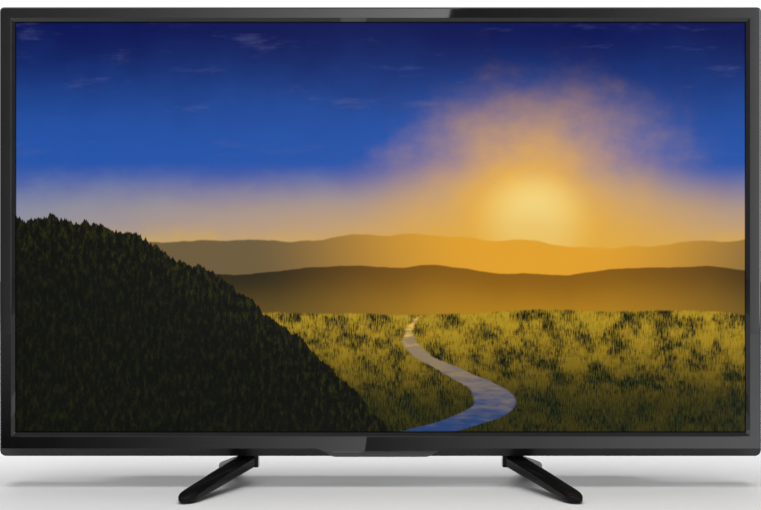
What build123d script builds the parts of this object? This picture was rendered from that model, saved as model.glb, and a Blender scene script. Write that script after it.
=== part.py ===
"""Flat screen TV of the 32-inch class on two splayed feet.

Frame: X to the viewer's right, Y to the back, Z up. The origin lies on the floor, midway
between the feet and midway between their front and rear tips. All lengths are millimetres.
"""

import math
import os

from build123d import *

# Body and screen, as the front view shows them
body_corner = 4.0
underside_z = 29.0
front_y = -10.0
rim_depth = 36.0
body_depth = 76.0
screen_width = 697.7
screen_height = 392.3
side_border = 14.15
upper_border = 13.5
lower_border = 23.2

# Clearances and cutting overrun
slip = 0.2
fit_gap = 0.1
overrun = 2.0

# Front bezel
bezel_depth = 12.0
bezel_wall = 2.2
rim_round = 2.0
lip_slope = 3.0
ledge_depth = 4.4
ledge_width = 6.0
bevel_height = 8.4
bevel_depth = 9.0
tongue_top_width = 128.6
tongue_foot_width = 79.0
tongue_drop = 0.5
tongue_round = 5.0
tongue_flank_pull = 12.0

# Infrared window in the underside of the centre lip
ir_window_width = 9.0
ir_window_depth = 3.6
ir_window_x = 22.0
ir_window_setback = 7.4
ir_window_height = 9.0
ir_board_width = 44.0
ir_board_depth = 8.0
ir_board_thickness = 1.2

# LCD cell and the frame that holds it
gasket_thickness = 0.5
gasket_width = 4.0
cell_thickness = 1.4
cell_margin = 4.0
cell_lower_margin = 7.0
frame_rim = 3.3
frame_ledge = 1.6
frame_wall = 1.5
frame_window_margin = 0.6
frame_skirt_depth = 12.0
sheet_thickness = 0.3
diffuser_thickness = 1.5
sheet_border = 3.0

# Backlight pan and what it carries inside
pan_thickness = 0.8
pan_depth = 16.4
pan_flange = 9.0
pan_slope_run = 20.0
pan_bead_height = 1.6
pan_bead_width = 14.0
pan_bead_length = 120.0
pan_bead_inset = 70.0
reflector_thickness = 0.3
strip_count = 2
strip_margin = 58.85
strip_width = 12.0
strip_thickness = 1.0
strip_pitch_share = 0.4716
lens_count = 6
lens_end_margin = 30.0
lens_radius = 7.5
lens_height = 5.4
post_offset = 52.0
post_foot_radius = 4.0
post_tip_radius = 0.8

# Drive electronics of the cell, along its lower edge
film_count = 4
film_width = 42.0
film_end_margin = 55.0
film_thickness = 0.2
film_overlap = 4.2
source_board_margin = 68.85
source_board_height = 9.0
source_board_thickness = 1.0
timing_board_width = 118.0
timing_board_height = 44.0
timing_board_z = 256.0
timing_board_lift = 3.0
timing_shield_lift = 3.4
timing_shield_margin = 3.0

# Rear cover
cover_wall = 2.4
cover_draft = 1.2
cover_taper = 6.0
cover_shoulder = 8.0
cover_rear_corner = 9.0
housing_side_margin = 73.0
housing_low_margin = 17.0
housing_top_margin = 106.0
housing_corner = 14.0
housing_side_slope = 28.0
housing_top_slope = 40.0
housing_bottom_slope = 4.0
housing_edge = 4.0

# Socket bays sunk in the housing
side_bay_x = 200.0
side_bay_low_z = 100.0
side_bay_high_z = 186.0
lower_bay_z = 92.0
lower_bay_inner_x = 30.0
lower_bay_outer_x = 160.0
mains_bay_low_z = 112.0
mains_bay_high_z = 160.0

# Vents of the rear cover
vent_width = 3.0
vent_pitch = 12.0
top_vent_count = 18
top_vent_height = 20.0
rear_vent_count = 7
rear_vent_height = 24.0
rear_vent_row_pitch = 34.0
rear_vent_x = 112.0
rear_vent_z = 142.0
speaker_slot_width = 2.4
speaker_slot_length = 22.0
speaker_slot_pitch = 8.5
speaker_slot_count = 7

# Screws, whose small rounds are drawn with few sides
round_sides = 8
hex_sides = 6
corner_flats = 3
well_sides = 12
lens_sides = 16
small_screw_radius = 1.45
small_screw_length = 5.0
cover_screw_length = 3.6
small_head_radius = 2.9
small_head_height = 1.9
cover_boss_radius = 5.0
cover_boss_floor = 2.0
cover_well_radius = 3.6
cover_screw_top_drop = 50.0
cover_screw_top_shares = (-0.4, -0.138, 0.138, 0.4)
cover_screw_side_inset = 59.0
cover_screw_side_shares = (0.147, 0.754)
foot_screw_radius = 2.0
foot_screw_length = 14.0
foot_screw_head_radius = 3.8
foot_screw_head_height = 2.6

# Wall mount
vesa_width = 200.0
vesa_height = 100.0
vesa_centre_z = 244.0
vesa_hole_radius = 2.0
vesa_hole_depth = 12.0
vesa_standoff_radius = 6.0
vesa_sink = 1.0

# Feet
foot_reach = 100.0
foot_neck_x = 128.0
foot_neck_front_y = 3.0
foot_neck_rear_y = 25.0
foot_neck_thickness = 12.5
foot_width = 18.5
foot_front_tip_x = 178.5
foot_rear_tip_x = 160.0
foot_tip_thickness = 10.0
foot_edge_round = 3.2
foot_neck_width = 20.0
foot_neck_corner = 3.0
leg_shares = (0.0, 0.86, 0.96, 1.0)
leg_width_shares = (1.0, 0.93, 0.76, 0.42)
leg_rise_shares = (1.0, 0.04, 0.0, 0.0)
leg_height_shares = (1.0, 1.0, 0.95, 0.7)
pad_radius = 6.2
pad_thickness = 2.0
pad_sides = 16
pad_proud = 0.8
foot_screw_pitch = 11.0
bracket_thickness = 2.0
bracket_width = 36.0
bracket_rise = 42.0

# Boards behind the pan
board_thickness = 1.6
board_standoff_height = 11.0
board_standoff_radius = 3.0
board_hole_inset = 6.0
main_board_low_z = 96.0
main_board_high_z = 184.0
main_board_inner_x = 12.0
main_board_outer_x = 195.0
power_board_low_z = 96.0
power_board_high_z = 184.0
power_board_inner_x = -40.0
power_board_outer_x = -195.0

# What stands on the boards
processor_size = 24.0
processor_height = 2.0
processor_x = 92.0
processor_z = 150.0
sink_size = 40.0
sink_base = 2.5
sink_fin_count = 7
sink_fin_thickness = 1.4
sink_fin_height = 9.0
header_width = 22.0
header_depth = 5.0
header_height = 6.0
transformer_width = 38.0
transformer_length = 34.0
transformer_height = 24.0
transformer_core = 14.0
transformer_xs = (-105.0, -150.0)
transformer_z = 142.0
bulk_radius = 9.0
bulk_height = 24.0
small_can_radius = 5.0
small_can_height = 14.0
bulk_places = ((-172.0, 171.0), (-130.0, 111.0))
small_can_places = ((-62.0, 162.0), (-62.0, 146.0), (-62.0, 130.0), (-62.0, 114.0))
plate_sink_length = 60.0
plate_sink_thickness = 2.0
plate_sink_height = 22.0
plate_sink_x = -82.0

# Wire leads between the boards and what they feed
lead_size = 1.5
lead_hole_gap = 0.3
lead_edge_gap = 0.6
lead_header_lift = 2.0
key_lead_drop = 14.0
speaker_lead_setback = 6.0
speaker_lead_y = 24.0
speaker_lead_rise = 2.0

# Keys on the back of the rim
key_count = 7
key_pitch = 15.0
key_width = 8.0
key_height = 9.0
key_chamfer = 0.8
key_proud = 1.4
key_travel = 0.5
key_flange = 1.2
key_flange_thickness = 1.2
key_gap = 0.25
key_column_inset = 45.0
key_column_share = 0.39
key_board_width = 18.0
key_board_thickness = 1.2
key_switch_size = 6.0
key_switch_height = 3.4
key_button_radius = 1.75
key_slack = 0.1

# Speakers
speaker_outset = 112.0
speaker_length = 74.0
speaker_low_z = 54.0
speaker_height = 36.0
speaker_front_gap = 3.6
speaker_depth = 32.0
speaker_round = 3.0
cone_length = 56.0
cone_width = 20.0
cone_recess = 3.0
cone_dip = 2.2
cone_edge = 2.4
ear_length = 12.0
ear_height = 14.0
ear_thickness = 3.0
grommet_radius = 4.4
grommet_bore_radius = 2.2

# Sockets: width along the board, height off the board, and how far the tongue reaches in
socket_depth = 16.0
socket_wall = 0.5
socket_recess = 11.0
tongue_setback = 1.0
hdmi_width = 15.0
hdmi_height = 5.6
hdmi_tongue = 1.0
usb_width = 14.2
usb_height = 6.6
usb_tongue = 1.9
jack_width = 8.0
jack_height = 7.0
jack_bore_radius = 1.75
coax_radius = 4.2
coax_bore_radius = 1.7
vga_width = 31.0
vga_height = 12.4
vga_shell_width = 17.0
vga_shell_height = 8.4
vga_shell_depth = 6.0
vga_shell_corner = 2.1
aerial_barrel_radius = 5.6
aerial_bore_radius = 4.7
aerial_pin_radius = 1.15
aerial_barrel_length = 13.0
tuner_width = 34.0
tuner_height = 12.0
tuner_length = 40.0
inlet_width = 24.0
inlet_height = 16.0
inlet_mouth_width = 16.4
inlet_mouth_height = 9.4
inlet_recess = 14.0
inlet_pin_radius = 1.15
inlet_pin_pitch = 8.6
inlet_pin_length = 11.0
wall_setback = 0.4
bay_reach = 160.0
side_socket_zs = (116.0, 134.5, 153.0, 170.0)
lower_socket_xs = (45.0, 70.0, 99.0, 127.0, 145.0)

# Places worked out from the sizes above
body_width = screen_width + 2 * side_border
body_height = screen_height + upper_border + lower_border
centre_z = underside_z + body_height / 2
top_z = underside_z + body_height
screen_low_z = underside_z + lower_border
screen_high_z = screen_low_z + screen_height
screen_centre_z = (screen_low_z + screen_high_z) / 2
parting_y = front_y + bezel_depth
rim_rear_y = front_y + rim_depth
housing_rear_y = front_y + body_depth
ledge_y = front_y + ledge_depth
cell_front_y = ledge_y + gasket_thickness
cell_rear_y = cell_front_y + cell_thickness
cell_width = screen_width + 2 * cell_margin
cell_low_z = screen_low_z - cell_lower_margin
cell_high_z = screen_high_z + cell_margin
cell_height = cell_high_z - cell_low_z
cell_centre_z = (cell_low_z + cell_high_z) / 2
frame_ledge_y = cell_rear_y + frame_ledge
prism_rear_y = frame_ledge_y + sheet_thickness
sheet_rear_y = prism_rear_y + sheet_thickness
diffuser_rear_y = sheet_rear_y + diffuser_thickness
pan_front_y = diffuser_rear_y
pan_rear_y = pan_front_y + pan_depth
frame_width = cell_width + 2 * frame_rim
frame_height = cell_height + 2 * frame_rim
pan_width = frame_width - 2 * (frame_wall + slip)
pan_height = frame_height - 2 * (frame_wall + slip)
board_front_y = pan_rear_y + board_standoff_height
board_rear_y = board_front_y + board_thickness
housing_width = body_width - 2 * housing_side_margin
housing_low_z = underside_z + housing_low_margin
housing_high_z = top_z - housing_top_margin
strip_length = screen_width - 2 * strip_margin
strip_pitch = strip_pitch_share * screen_height
lens_pitch = (strip_length - 2 * lens_end_margin) / (lens_count - 1)
source_board_length = screen_width - 2 * source_board_margin
film_pitch = (source_board_length - 2 * film_end_margin) / (film_count - 1)
pan_bead_x = pan_width / 2 - pan_flange - pan_slope_run - pan_bead_inset
cover_screw_side_x = body_width / 2 - cover_screw_side_inset
speaker_inner_x = housing_width / 2 - speaker_outset
backlight_lead_x = power_board_inner_x - header_width
backlight_lead_z = screen_centre_z - strip_pitch / 2 - lead_size / 2
key_column_x = body_width / 2 - key_column_inset
key_column_z = underside_z + key_column_share * body_height

parts_folder = "parts"
os.makedirs(parts_folder, exist_ok=True)


def keep(name, part):
    """Label a finished piece and write it to its own file."""
    part.label = name
    export_step(part, os.path.join(parts_folder, name + ".step"))


def screen_plane(depth_y):
    """Plane parallel to the screen at a depth, facing the viewer, with X and Z as its axes."""
    return Plane.XZ.offset(-depth_y)


def block(low, high):
    """A box between two corners, added inside the block that is open."""
    size = [high[axis] - low[axis] for axis in range(3)]
    with Locations(tuple(low)):
        Box(*size, align=(Align.MIN, Align.MIN, Align.MIN))


def cut_block(low, high):
    """The same box, taken away."""
    size = [high[axis] - low[axis] for axis in range(3)]
    with Locations(tuple(low)):
        Box(*size, align=(Align.MIN, Align.MIN, Align.MIN), mode=Mode.SUBTRACT)


def frame_slab(outer, inner, outer_z, inner_z, near_y, far_y):
    """A flat frame between two depths, with outer and inner (width, height) pairs."""
    with BuildSketch(screen_plane(near_y)) as ring:
        with Locations((0, outer_z)):
            Rectangle(*outer)
        with Locations((0, inner_z)):
            Rectangle(*inner, mode=Mode.SUBTRACT)
    extrude(ring.sketch, amount=-(far_y - near_y))


def facet_rectangle(width, height, corner):
    """A rectangle whose rounded corners are drawn as a few flats, added to the open sketch."""
    points = []
    for quarter in range(4):
        side_x = (1, -1, -1, 1)[quarter]
        side_y = (1, 1, -1, -1)[quarter]
        for step in range(corner_flats + 1):
            angle = (quarter + step / corner_flats) * math.pi / 2
            points.append(
                (
                    side_x * (width / 2 - corner) + corner * math.cos(angle),
                    side_y * (height / 2 - corner) + corner * math.sin(angle),
                )
            )
    Polygon(*points, align=None)


def facet_slot(length, width, mode=Mode.ADD):
    """A slot whose round ends are drawn as a few flats, added to the open sketch."""
    points = []
    for side in (1, -1):
        for step in range(2 * corner_flats + 1):
            angle = (step / corner_flats - 1) * math.pi / 2
            points.append(
                (
                    side * ((length - width) / 2 + width / 2 * math.cos(angle)),
                    side * width / 2 * math.sin(angle),
                )
            )
    Polygon(*points, align=None, mode=mode)


def rounded_section(half_width, low_z, high_z, corner, depth_y):
    """Sketch of one upright rounded outline at a depth."""
    with BuildSketch(screen_plane(depth_y)) as outline:
        with Locations((0, (low_z + high_z) / 2)):
            facet_rectangle(2 * half_width, high_z - low_z, corner)
    return outline.sketch


# Front bezel: a moulded frame with rounded rims, a receding lower bevel and the centre lip

bevel_run = math.hypot(bevel_height, bevel_depth)
bevel_wall_rise = bezel_wall * bevel_run / bevel_depth
bevel_wall_back = bezel_wall * bevel_run / bevel_height


def bevel_wedge(rise, back):
    """Prism under the slanted lower face: its height at the front and its depth at the bottom."""
    with BuildPart(mode=Mode.PRIVATE) as wedge:
        with BuildSketch(Plane.YZ):
            with BuildLine():
                Polyline(
                    (front_y - overrun, underside_z - overrun),
                    (front_y - overrun, underside_z + rise + overrun * rise / back),
                    (front_y + back + overrun * back / rise, underside_z - overrun),
                    close=True,
                )
            make_face()
        extrude(amount=body_width, both=True)
    return wedge.part


tongue_low_z = underside_z - tongue_drop
tongue_high_z = underside_z + bevel_height
with BuildPart() as tongue:
    with BuildSketch(screen_plane(front_y)):
        with BuildLine():
            top_x = tongue_top_width / 2
            foot_x = tongue_foot_width / 2
            Bezier(
                (top_x, tongue_high_z),
                (top_x - tongue_flank_pull, tongue_high_z),
                (foot_x + tongue_flank_pull, tongue_low_z),
                (foot_x, tongue_low_z),
            )
            Line((foot_x, tongue_low_z), (-foot_x, tongue_low_z))
            Bezier(
                (-foot_x, tongue_low_z),
                (-foot_x - tongue_flank_pull, tongue_low_z),
                (-top_x + tongue_flank_pull, tongue_high_z),
                (-top_x, tongue_high_z),
            )
            Line((-top_x, tongue_high_z), (top_x, tongue_high_z))
        make_face()
    extrude(amount=-bevel_depth)
    with BuildSketch(Plane.YZ):
        with BuildLine():
            rear_y = front_y + bevel_depth
            Line((front_y, tongue_high_z), (front_y, tongue_low_z + tongue_round))
            RadiusArc(
                (front_y, tongue_low_z + tongue_round),
                (front_y + tongue_round, tongue_low_z),
                -tongue_round,
            )
            Polyline(
                (front_y + tongue_round, tongue_low_z),
                (rear_y, tongue_low_z),
                (rear_y, tongue_high_z),
                (front_y, tongue_high_z),
            )
        make_face()
    extrude(amount=tongue_top_width, both=True, mode=Mode.INTERSECT)

bezel_inner_width = body_width - 2 * bezel_wall
bezel_inner_height = body_height - 2 * bezel_wall
with BuildPart() as bezel_cavity:
    frame_slab(
        (bezel_inner_width, bezel_inner_height),
        (screen_width + 2 * ledge_width, screen_height + 2 * ledge_width),
        centre_z,
        screen_centre_z,
        front_y + bezel_wall,
        ledge_y,
    )
    with BuildSketch(screen_plane(ledge_y)):
        with Locations((0, centre_z)):
            Rectangle(bezel_inner_width, bezel_inner_height)
    extrude(amount=-(parting_y + overrun - ledge_y))
    add(
        bevel_wedge(bevel_height + bevel_wall_rise, bevel_depth + bevel_wall_back),
        mode=Mode.SUBTRACT,
    )

ir_window_y = front_y + ir_window_setback
ir_board_z = tongue_low_z + ir_window_height
with BuildPart() as front_bezel:
    rim_sections = []
    for step in range(corner_flats + 1):
        angle = step / corner_flats * math.pi / 2
        inset = rim_round * (1 - math.cos(angle))
        rim_y = front_y + rim_round * (1 - math.sin(angle))
        half_width = body_width / 2 - inset
        rim_sections.append(
            rounded_section(half_width, underside_z + inset, top_z - inset, body_corner - inset, rim_y)
        )
    loft(rim_sections, ruled=True)
    extrude(rim_sections[0], amount=-(bezel_depth - rim_round))
    add(bevel_wedge(bevel_height, bevel_depth), mode=Mode.SUBTRACT)
    with BuildSketch(screen_plane(front_y)):
        with Locations((0, screen_centre_z)):
            Rectangle(screen_width + 2 * lip_slope, screen_height + 2 * lip_slope)
    with BuildSketch(screen_plane(front_y + lip_slope)):
        with Locations((0, screen_centre_z)):
            Rectangle(screen_width, screen_height)
    loft(mode=Mode.SUBTRACT)
    cut_block(
        (-screen_width / 2, front_y + lip_slope, screen_low_z),
        (screen_width / 2, parting_y + overrun, screen_high_z),
    )
    add(bezel_cavity.part, mode=Mode.SUBTRACT)
    add(tongue.part)
    cut_block(
        (ir_window_x - ir_window_width / 2, ir_window_y - ir_window_depth / 2, tongue_low_z - overrun),
        (ir_window_x + ir_window_width / 2, ir_window_y + ir_window_depth / 2, ir_board_z),
    )
keep("front_bezel", front_bezel.part)

with BuildPart() as ir_window:
    block(
        (
            ir_window_x - ir_window_width / 2 + fit_gap,
            ir_window_y - ir_window_depth / 2 + fit_gap,
            tongue_low_z,
        ),
        (
            ir_window_x + ir_window_width / 2 - fit_gap,
            ir_window_y + ir_window_depth / 2 - fit_gap,
            ir_board_z,
        ),
    )
keep("ir_window", ir_window.part)

with BuildPart() as ir_board:
    block(
        (ir_window_x - ir_board_width / 2, ir_window_y - ir_board_depth / 2, ir_board_z),
        (
            ir_window_x + ir_board_width / 2,
            ir_window_y + ir_board_depth / 2,
            ir_board_z + ir_board_thickness,
        ),
    )
keep("ir_board", ir_board.part)


# Display module, from the screen backwards

with BuildPart() as cell_gasket:
    frame_slab(
        (cell_width, cell_height),
        (cell_width - 2 * gasket_width + slip, cell_height - 2 * gasket_width + slip),
        cell_centre_z,
        cell_centre_z,
        ledge_y,
        cell_front_y,
    )
    cut_block(
        (-screen_width / 2, ledge_y - overrun, screen_low_z),
        (screen_width / 2, cell_front_y + overrun, screen_high_z),
    )
keep("cell_gasket", cell_gasket.part)

with BuildPart() as lcd_cell:
    block(
        (-cell_width / 2, cell_front_y, cell_low_z),
        (cell_width / 2, cell_rear_y, cell_high_z),
    )
keep("lcd_cell", lcd_cell.part)

film_low_z = cell_low_z - frame_rim - film_thickness - slip
with BuildPart() as middle_frame:
    ledge_window = (screen_width + 2 * frame_window_margin, screen_height + 2 * frame_window_margin)
    frame_slab(
        (frame_width, frame_height), ledge_window, cell_centre_z, screen_centre_z, cell_rear_y, frame_ledge_y
    )
    frame_slab(
        (frame_width, frame_height),
        (cell_width + 2 * slip, cell_height + 2 * slip),
        cell_centre_z,
        cell_centre_z,
        cell_front_y,
        cell_rear_y,
    )
    frame_slab(
        (frame_width, frame_height),
        (frame_width - 2 * frame_wall, frame_height - 2 * frame_wall),
        cell_centre_z,
        cell_centre_z,
        frame_ledge_y,
        frame_ledge_y + frame_skirt_depth,
    )
    for number in range(film_count):
        film_x = (number - (film_count - 1) / 2) * film_pitch
        cut_block(
            (film_x - film_width / 2 - slip, cell_front_y - overrun, cell_low_z - frame_rim - overrun),
            (film_x + film_width / 2 + slip, cell_rear_y, cell_low_z + slip),
        )
keep("middle_frame", middle_frame.part)

sheet_width = pan_width - 2 * sheet_border
sheet_height = pan_height - 2 * sheet_border
sheet_stack = (
    ("prism_sheet", frame_ledge_y, prism_rear_y),
    ("diffuser_sheet", prism_rear_y, sheet_rear_y),
    ("diffuser_plate", sheet_rear_y, diffuser_rear_y),
)
for sheet_name, near_y, far_y in sheet_stack:
    with BuildPart() as sheet:
        block(
            (-sheet_width / 2, near_y, cell_centre_z - sheet_height / 2),
            (sheet_width / 2, far_y, cell_centre_z + sheet_height / 2),
        )
    keep(sheet_name, sheet.part)


def tray_form(inset, near_y, far_y):
    """Pressed tray, slanted from the flange down to the floor, cut off at two depths."""
    rim = (pan_width - 2 * pan_flange - 2 * inset, pan_height - 2 * pan_flange - 2 * inset)
    floor = (rim[0] - 2 * pan_slope_run, rim[1] - 2 * pan_slope_run)
    with BuildPart(mode=Mode.PRIVATE) as tray:
        with BuildSketch(screen_plane(pan_front_y)):
            with Locations((0, cell_centre_z)):
                Rectangle(*rim)
        with BuildSketch(screen_plane(pan_rear_y)):
            with Locations((0, cell_centre_z)):
                Rectangle(*floor)
        loft(ruled=True)
        with BuildSketch(screen_plane(near_y)):
            with Locations((0, cell_centre_z)):
                Rectangle(pan_width, pan_height)
        extrude(amount=-(far_y - near_y), mode=Mode.INTERSECT)
    return tray.part


cover_screw_places = []
for share in cover_screw_top_shares:
    cover_screw_places.append((share * body_width, top_z - cover_screw_top_drop))
for share in cover_screw_side_shares:
    for side in (-1, 1):
        cover_screw_places.append((side * cover_screw_side_x, underside_z + share * body_height))
pan_floor_y = pan_rear_y - pan_thickness
reflector_y = pan_floor_y - strip_thickness - reflector_thickness
strip_places = []
for row in range(strip_count):
    strip_places.append(screen_centre_z + (row - (strip_count - 1) / 2) * strip_pitch)
lens_places = []
for strip_z in strip_places:
    for column in range(lens_count):
        lens_places.append(((column - (lens_count - 1) / 2) * lens_pitch, strip_z))
post_places = []
for row in range(strip_count - 1):
    post_z = (strip_places[row] + strip_places[row + 1]) / 2
    for side in (-1, 1):
        post_places.append((side * (lens_pitch + post_offset), post_z))
        post_places.append((side * post_offset, post_z))

vesa_places = []
for side_x in (-1, 1):
    for side_z in (-1, 1):
        vesa_places.append((side_x * vesa_width / 2, vesa_centre_z + side_z * vesa_height / 2))


def board_holes(inner_x, outer_x, low_z, high_z):
    """Fixing places at the four corners of a board."""
    near_x = min(inner_x, outer_x) + board_hole_inset
    far_x = max(inner_x, outer_x) - board_hole_inset
    rows = (low_z + board_hole_inset, high_z - board_hole_inset)
    return [(x, z) for x in (near_x, far_x) for z in rows]


main_holes = board_holes(main_board_inner_x, main_board_outer_x, main_board_low_z, main_board_high_z)
power_holes = board_holes(power_board_inner_x, power_board_outer_x, power_board_low_z, power_board_high_z)

with BuildPart() as backlight_pan:
    with BuildSketch(screen_plane(pan_front_y)):
        with Locations((0, cell_centre_z)):
            Rectangle(pan_width, pan_height)
    extrude(amount=-pan_thickness)
    add(tray_form(0, pan_front_y, pan_rear_y))
    add(tray_form(pan_thickness, pan_front_y, pan_floor_y), mode=Mode.SUBTRACT)
    for side in (-1, 1):
        with BuildSketch(screen_plane(pan_rear_y)):
            with Locations((side * pan_bead_x, centre_z)):
                with Locations(Location((0, 0), 90)):
                    facet_slot(pan_bead_length, pan_bead_width)
        extrude(amount=-pan_bead_height)
    with BuildSketch(screen_plane(pan_floor_y - overrun)):
        with Locations(*cover_screw_places):
            RegularPolygon(small_screw_radius + fit_gap, round_sides, major_radius=False)
        with Locations((backlight_lead_x + lead_size / 2, backlight_lead_z + lead_size / 2)):
            Rectangle(lead_size + 2 * lead_hole_gap, lead_size + 2 * lead_hole_gap)
    extrude(amount=-(pan_thickness + 2 * overrun), mode=Mode.SUBTRACT)
keep("backlight_pan", backlight_pan.part)

with BuildPart() as reflector_sheet:
    add(tray_form(pan_thickness + fit_gap, pan_front_y + pan_thickness, reflector_y + reflector_thickness))
    add(
        tray_form(pan_thickness + fit_gap + reflector_thickness, pan_front_y, reflector_y),
        mode=Mode.SUBTRACT,
    )
    with BuildSketch(screen_plane(reflector_y - overrun)):
        with Locations(*lens_places):
            RegularPolygon(lens_radius + slip, round_sides)
        with Locations(*post_places):
            RegularPolygon(post_foot_radius + slip, round_sides, major_radius=False)
    extrude(amount=-(reflector_thickness + 2 * overrun), mode=Mode.SUBTRACT)
keep("reflector_sheet", reflector_sheet.part)

with BuildPart() as led_strips:
    for strip_z in strip_places:
        block(
            (-strip_length / 2, pan_floor_y - strip_thickness, strip_z - strip_width / 2),
            (strip_length / 2, pan_floor_y, strip_z + strip_width / 2),
        )
keep("led_strips", led_strips.part)

lens_base_y = pan_floor_y - strip_thickness
with BuildPart() as led_lenses:
    with BuildSketch(screen_plane(lens_base_y)):
        with Locations(*lens_places):
            RegularPolygon(lens_radius, round_sides)
    extrude(amount=lens_height)
keep("led_lenses", led_lenses.part)

with BuildPart() as diffuser_posts:
    post_height = pan_floor_y - diffuser_rear_y - slip
    for post_x, post_z in post_places:
        with BuildSketch(screen_plane(pan_floor_y)):
            with Locations((post_x, post_z)):
                RegularPolygon(post_foot_radius, round_sides)
        with BuildSketch(screen_plane(pan_floor_y - post_height)):
            with Locations((post_x, post_z)):
                RegularPolygon(post_tip_radius, round_sides)
        loft(ruled=True)
keep("diffuser_posts", diffuser_posts.part)

frame_low_z = cell_low_z - frame_rim
film_y = cell_front_y + film_thickness
source_board_y = pan_front_y + source_board_height / 2
with BuildPart() as source_board:
    block(
        (
            -source_board_length / 2,
            source_board_y,
            frame_low_z - film_thickness - source_board_thickness,
        ),
        (
            source_board_length / 2,
            source_board_y + source_board_height,
            frame_low_z - film_thickness,
        ),
    )
keep("source_board", source_board.part)

with BuildPart() as flex_films:
    for number in range(film_count):
        film_x = (number - (film_count - 1) / 2) * film_pitch
        block(
            (film_x - film_width / 2, film_y, frame_low_z - film_thickness),
            (film_x + film_width / 2, film_y + film_thickness, cell_low_z),
        )
        block(
            (film_x - film_width / 2, film_y, frame_low_z - film_thickness),
            (film_x + film_width / 2, source_board_y + film_overlap, frame_low_z),
        )
keep("flex_films", flex_films.part)

timing_low = (-timing_board_width / 2, timing_board_z - timing_board_height / 2)
timing_high = (timing_board_width / 2, timing_board_z + timing_board_height / 2)
timing_rear_y = pan_rear_y + timing_board_lift
with BuildPart() as timing_board:
    block(
        (timing_low[0], timing_rear_y - source_board_thickness, timing_low[1]),
        (timing_high[0], timing_rear_y, timing_high[1]),
    )
    with BuildSketch(screen_plane(pan_rear_y)):
        with Locations((0, timing_board_z)):
            with GridLocations(timing_board_width - board_hole_inset, timing_board_height - board_hole_inset, 2, 2):
                Rectangle(board_hole_inset, board_hole_inset)
    extrude(amount=-timing_board_lift)
keep("timing_board", timing_board.part)

shield_rear_y = timing_rear_y + timing_shield_lift
with BuildPart() as timing_shield:
    block(
        (timing_low[0] - timing_shield_margin, pan_rear_y, timing_low[1] - timing_shield_margin),
        (timing_high[0] + timing_shield_margin, shield_rear_y, timing_high[1] + timing_shield_margin),
    )
    cut_block(
        (
            timing_low[0] - timing_shield_margin + pan_thickness,
            pan_rear_y - overrun,
            timing_low[1] - timing_shield_margin + pan_thickness,
        ),
        (
            timing_high[0] + timing_shield_margin - pan_thickness,
            shield_rear_y - pan_thickness,
            timing_high[1] + timing_shield_margin - pan_thickness,
        ),
    )
keep("timing_shield", timing_shield.part)


# Rear cover: a thin tapered rim and a raised housing with sunken socket bays

def cover_form(inset):
    """The cover's outer form, or its hollow when every wall is moved in by an inset."""
    low_z = underside_z + inset
    half = body_width / 2 - inset
    high_z = top_z - inset
    rear_y = rim_rear_y - inset
    shoulder_y = rim_rear_y - cover_shoulder
    base_half = housing_width / 2 - inset
    base_low_z = housing_low_z + inset
    base_high_z = housing_high_z - inset
    back_y = housing_rear_y - inset
    edge_y = housing_rear_y - housing_edge
    crown_half = base_half - housing_side_slope
    crown_low_z = base_low_z + housing_bottom_slope
    crown_high_z = base_high_z - housing_top_slope
    with BuildPart(mode=Mode.PRIVATE) as form:
        loft(
            [
                rounded_section(half, low_z, high_z, body_corner, parting_y),
                rounded_section(half - cover_draft, low_z, high_z - cover_draft, body_corner, shoulder_y),
                rounded_section(half - cover_taper, low_z, high_z - cover_taper, cover_rear_corner, rear_y),
            ],
            ruled=True,
        )
        base = rounded_section(base_half, base_low_z, base_high_z, housing_corner, rear_y)
        loft(
            [
                base,
                rounded_section(crown_half, crown_low_z, crown_high_z, housing_corner, edge_y),
                rounded_section(
                    crown_half - housing_edge,
                    crown_low_z + housing_edge / 2,
                    crown_high_z - housing_edge,
                    housing_corner - housing_edge,
                    back_y,
                ),
            ],
            ruled=True,
        )
        extrude(base, amount=cover_wall)
        side_bay_low = (side_bay_x - inset, rim_rear_y - inset, side_bay_low_z - inset)
        cut_block(side_bay_low, (side_bay_x + bay_reach, housing_rear_y + bay_reach, side_bay_high_z + inset))
        cut_block(
            (-side_bay_x - bay_reach, rim_rear_y - inset, mains_bay_low_z - inset),
            (-side_bay_x + inset, housing_rear_y + bay_reach, mains_bay_high_z + inset),
        )
        cut_block(
            (lower_bay_inner_x - inset, rim_rear_y - inset, lower_bay_z - bay_reach),
            (lower_bay_outer_x + inset, housing_rear_y + bay_reach, lower_bay_z + inset),
        )
    return form.part


# Sockets on the board edges: name, mouth place, outward direction, outer width and height

side_mouth_x = side_bay_x - wall_setback
lower_mouth_z = lower_bay_z + wall_setback
to_right = (1, 0, 0)
to_left = (-1, 0, 0)
downwards = (0, 0, -1)


def side_place(number, height):
    """Centre of a mouth in the side bay."""
    return (side_mouth_x, board_rear_y + height / 2, side_socket_zs[number])


def lower_place(number, height):
    """Centre of a mouth in the lower bay."""
    return (lower_socket_xs[number], board_rear_y + height / 2, lower_mouth_z)


hdmi_mouths = (
    (side_place(0, hdmi_height), to_right),
    (side_place(1, hdmi_height), to_right),
    (lower_place(1, hdmi_height), downwards),
)
usb_mouth = (side_place(2, usb_height), to_right)
jack_mouths = ((side_place(3, jack_height), to_right), (lower_place(3, jack_height), downwards))
vga_mouth = (lower_place(2, vga_height), downwards)
coax_mouth = (lower_place(4, 2 * coax_radius), downwards)
aerial_mouth = (lower_place(0, tuner_height), downwards)
inlet_z = (mains_bay_low_z + mains_bay_high_z) / 2
inlet_mouth = ((-side_mouth_x, board_rear_y + inlet_height / 2, inlet_z), to_left)


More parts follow.
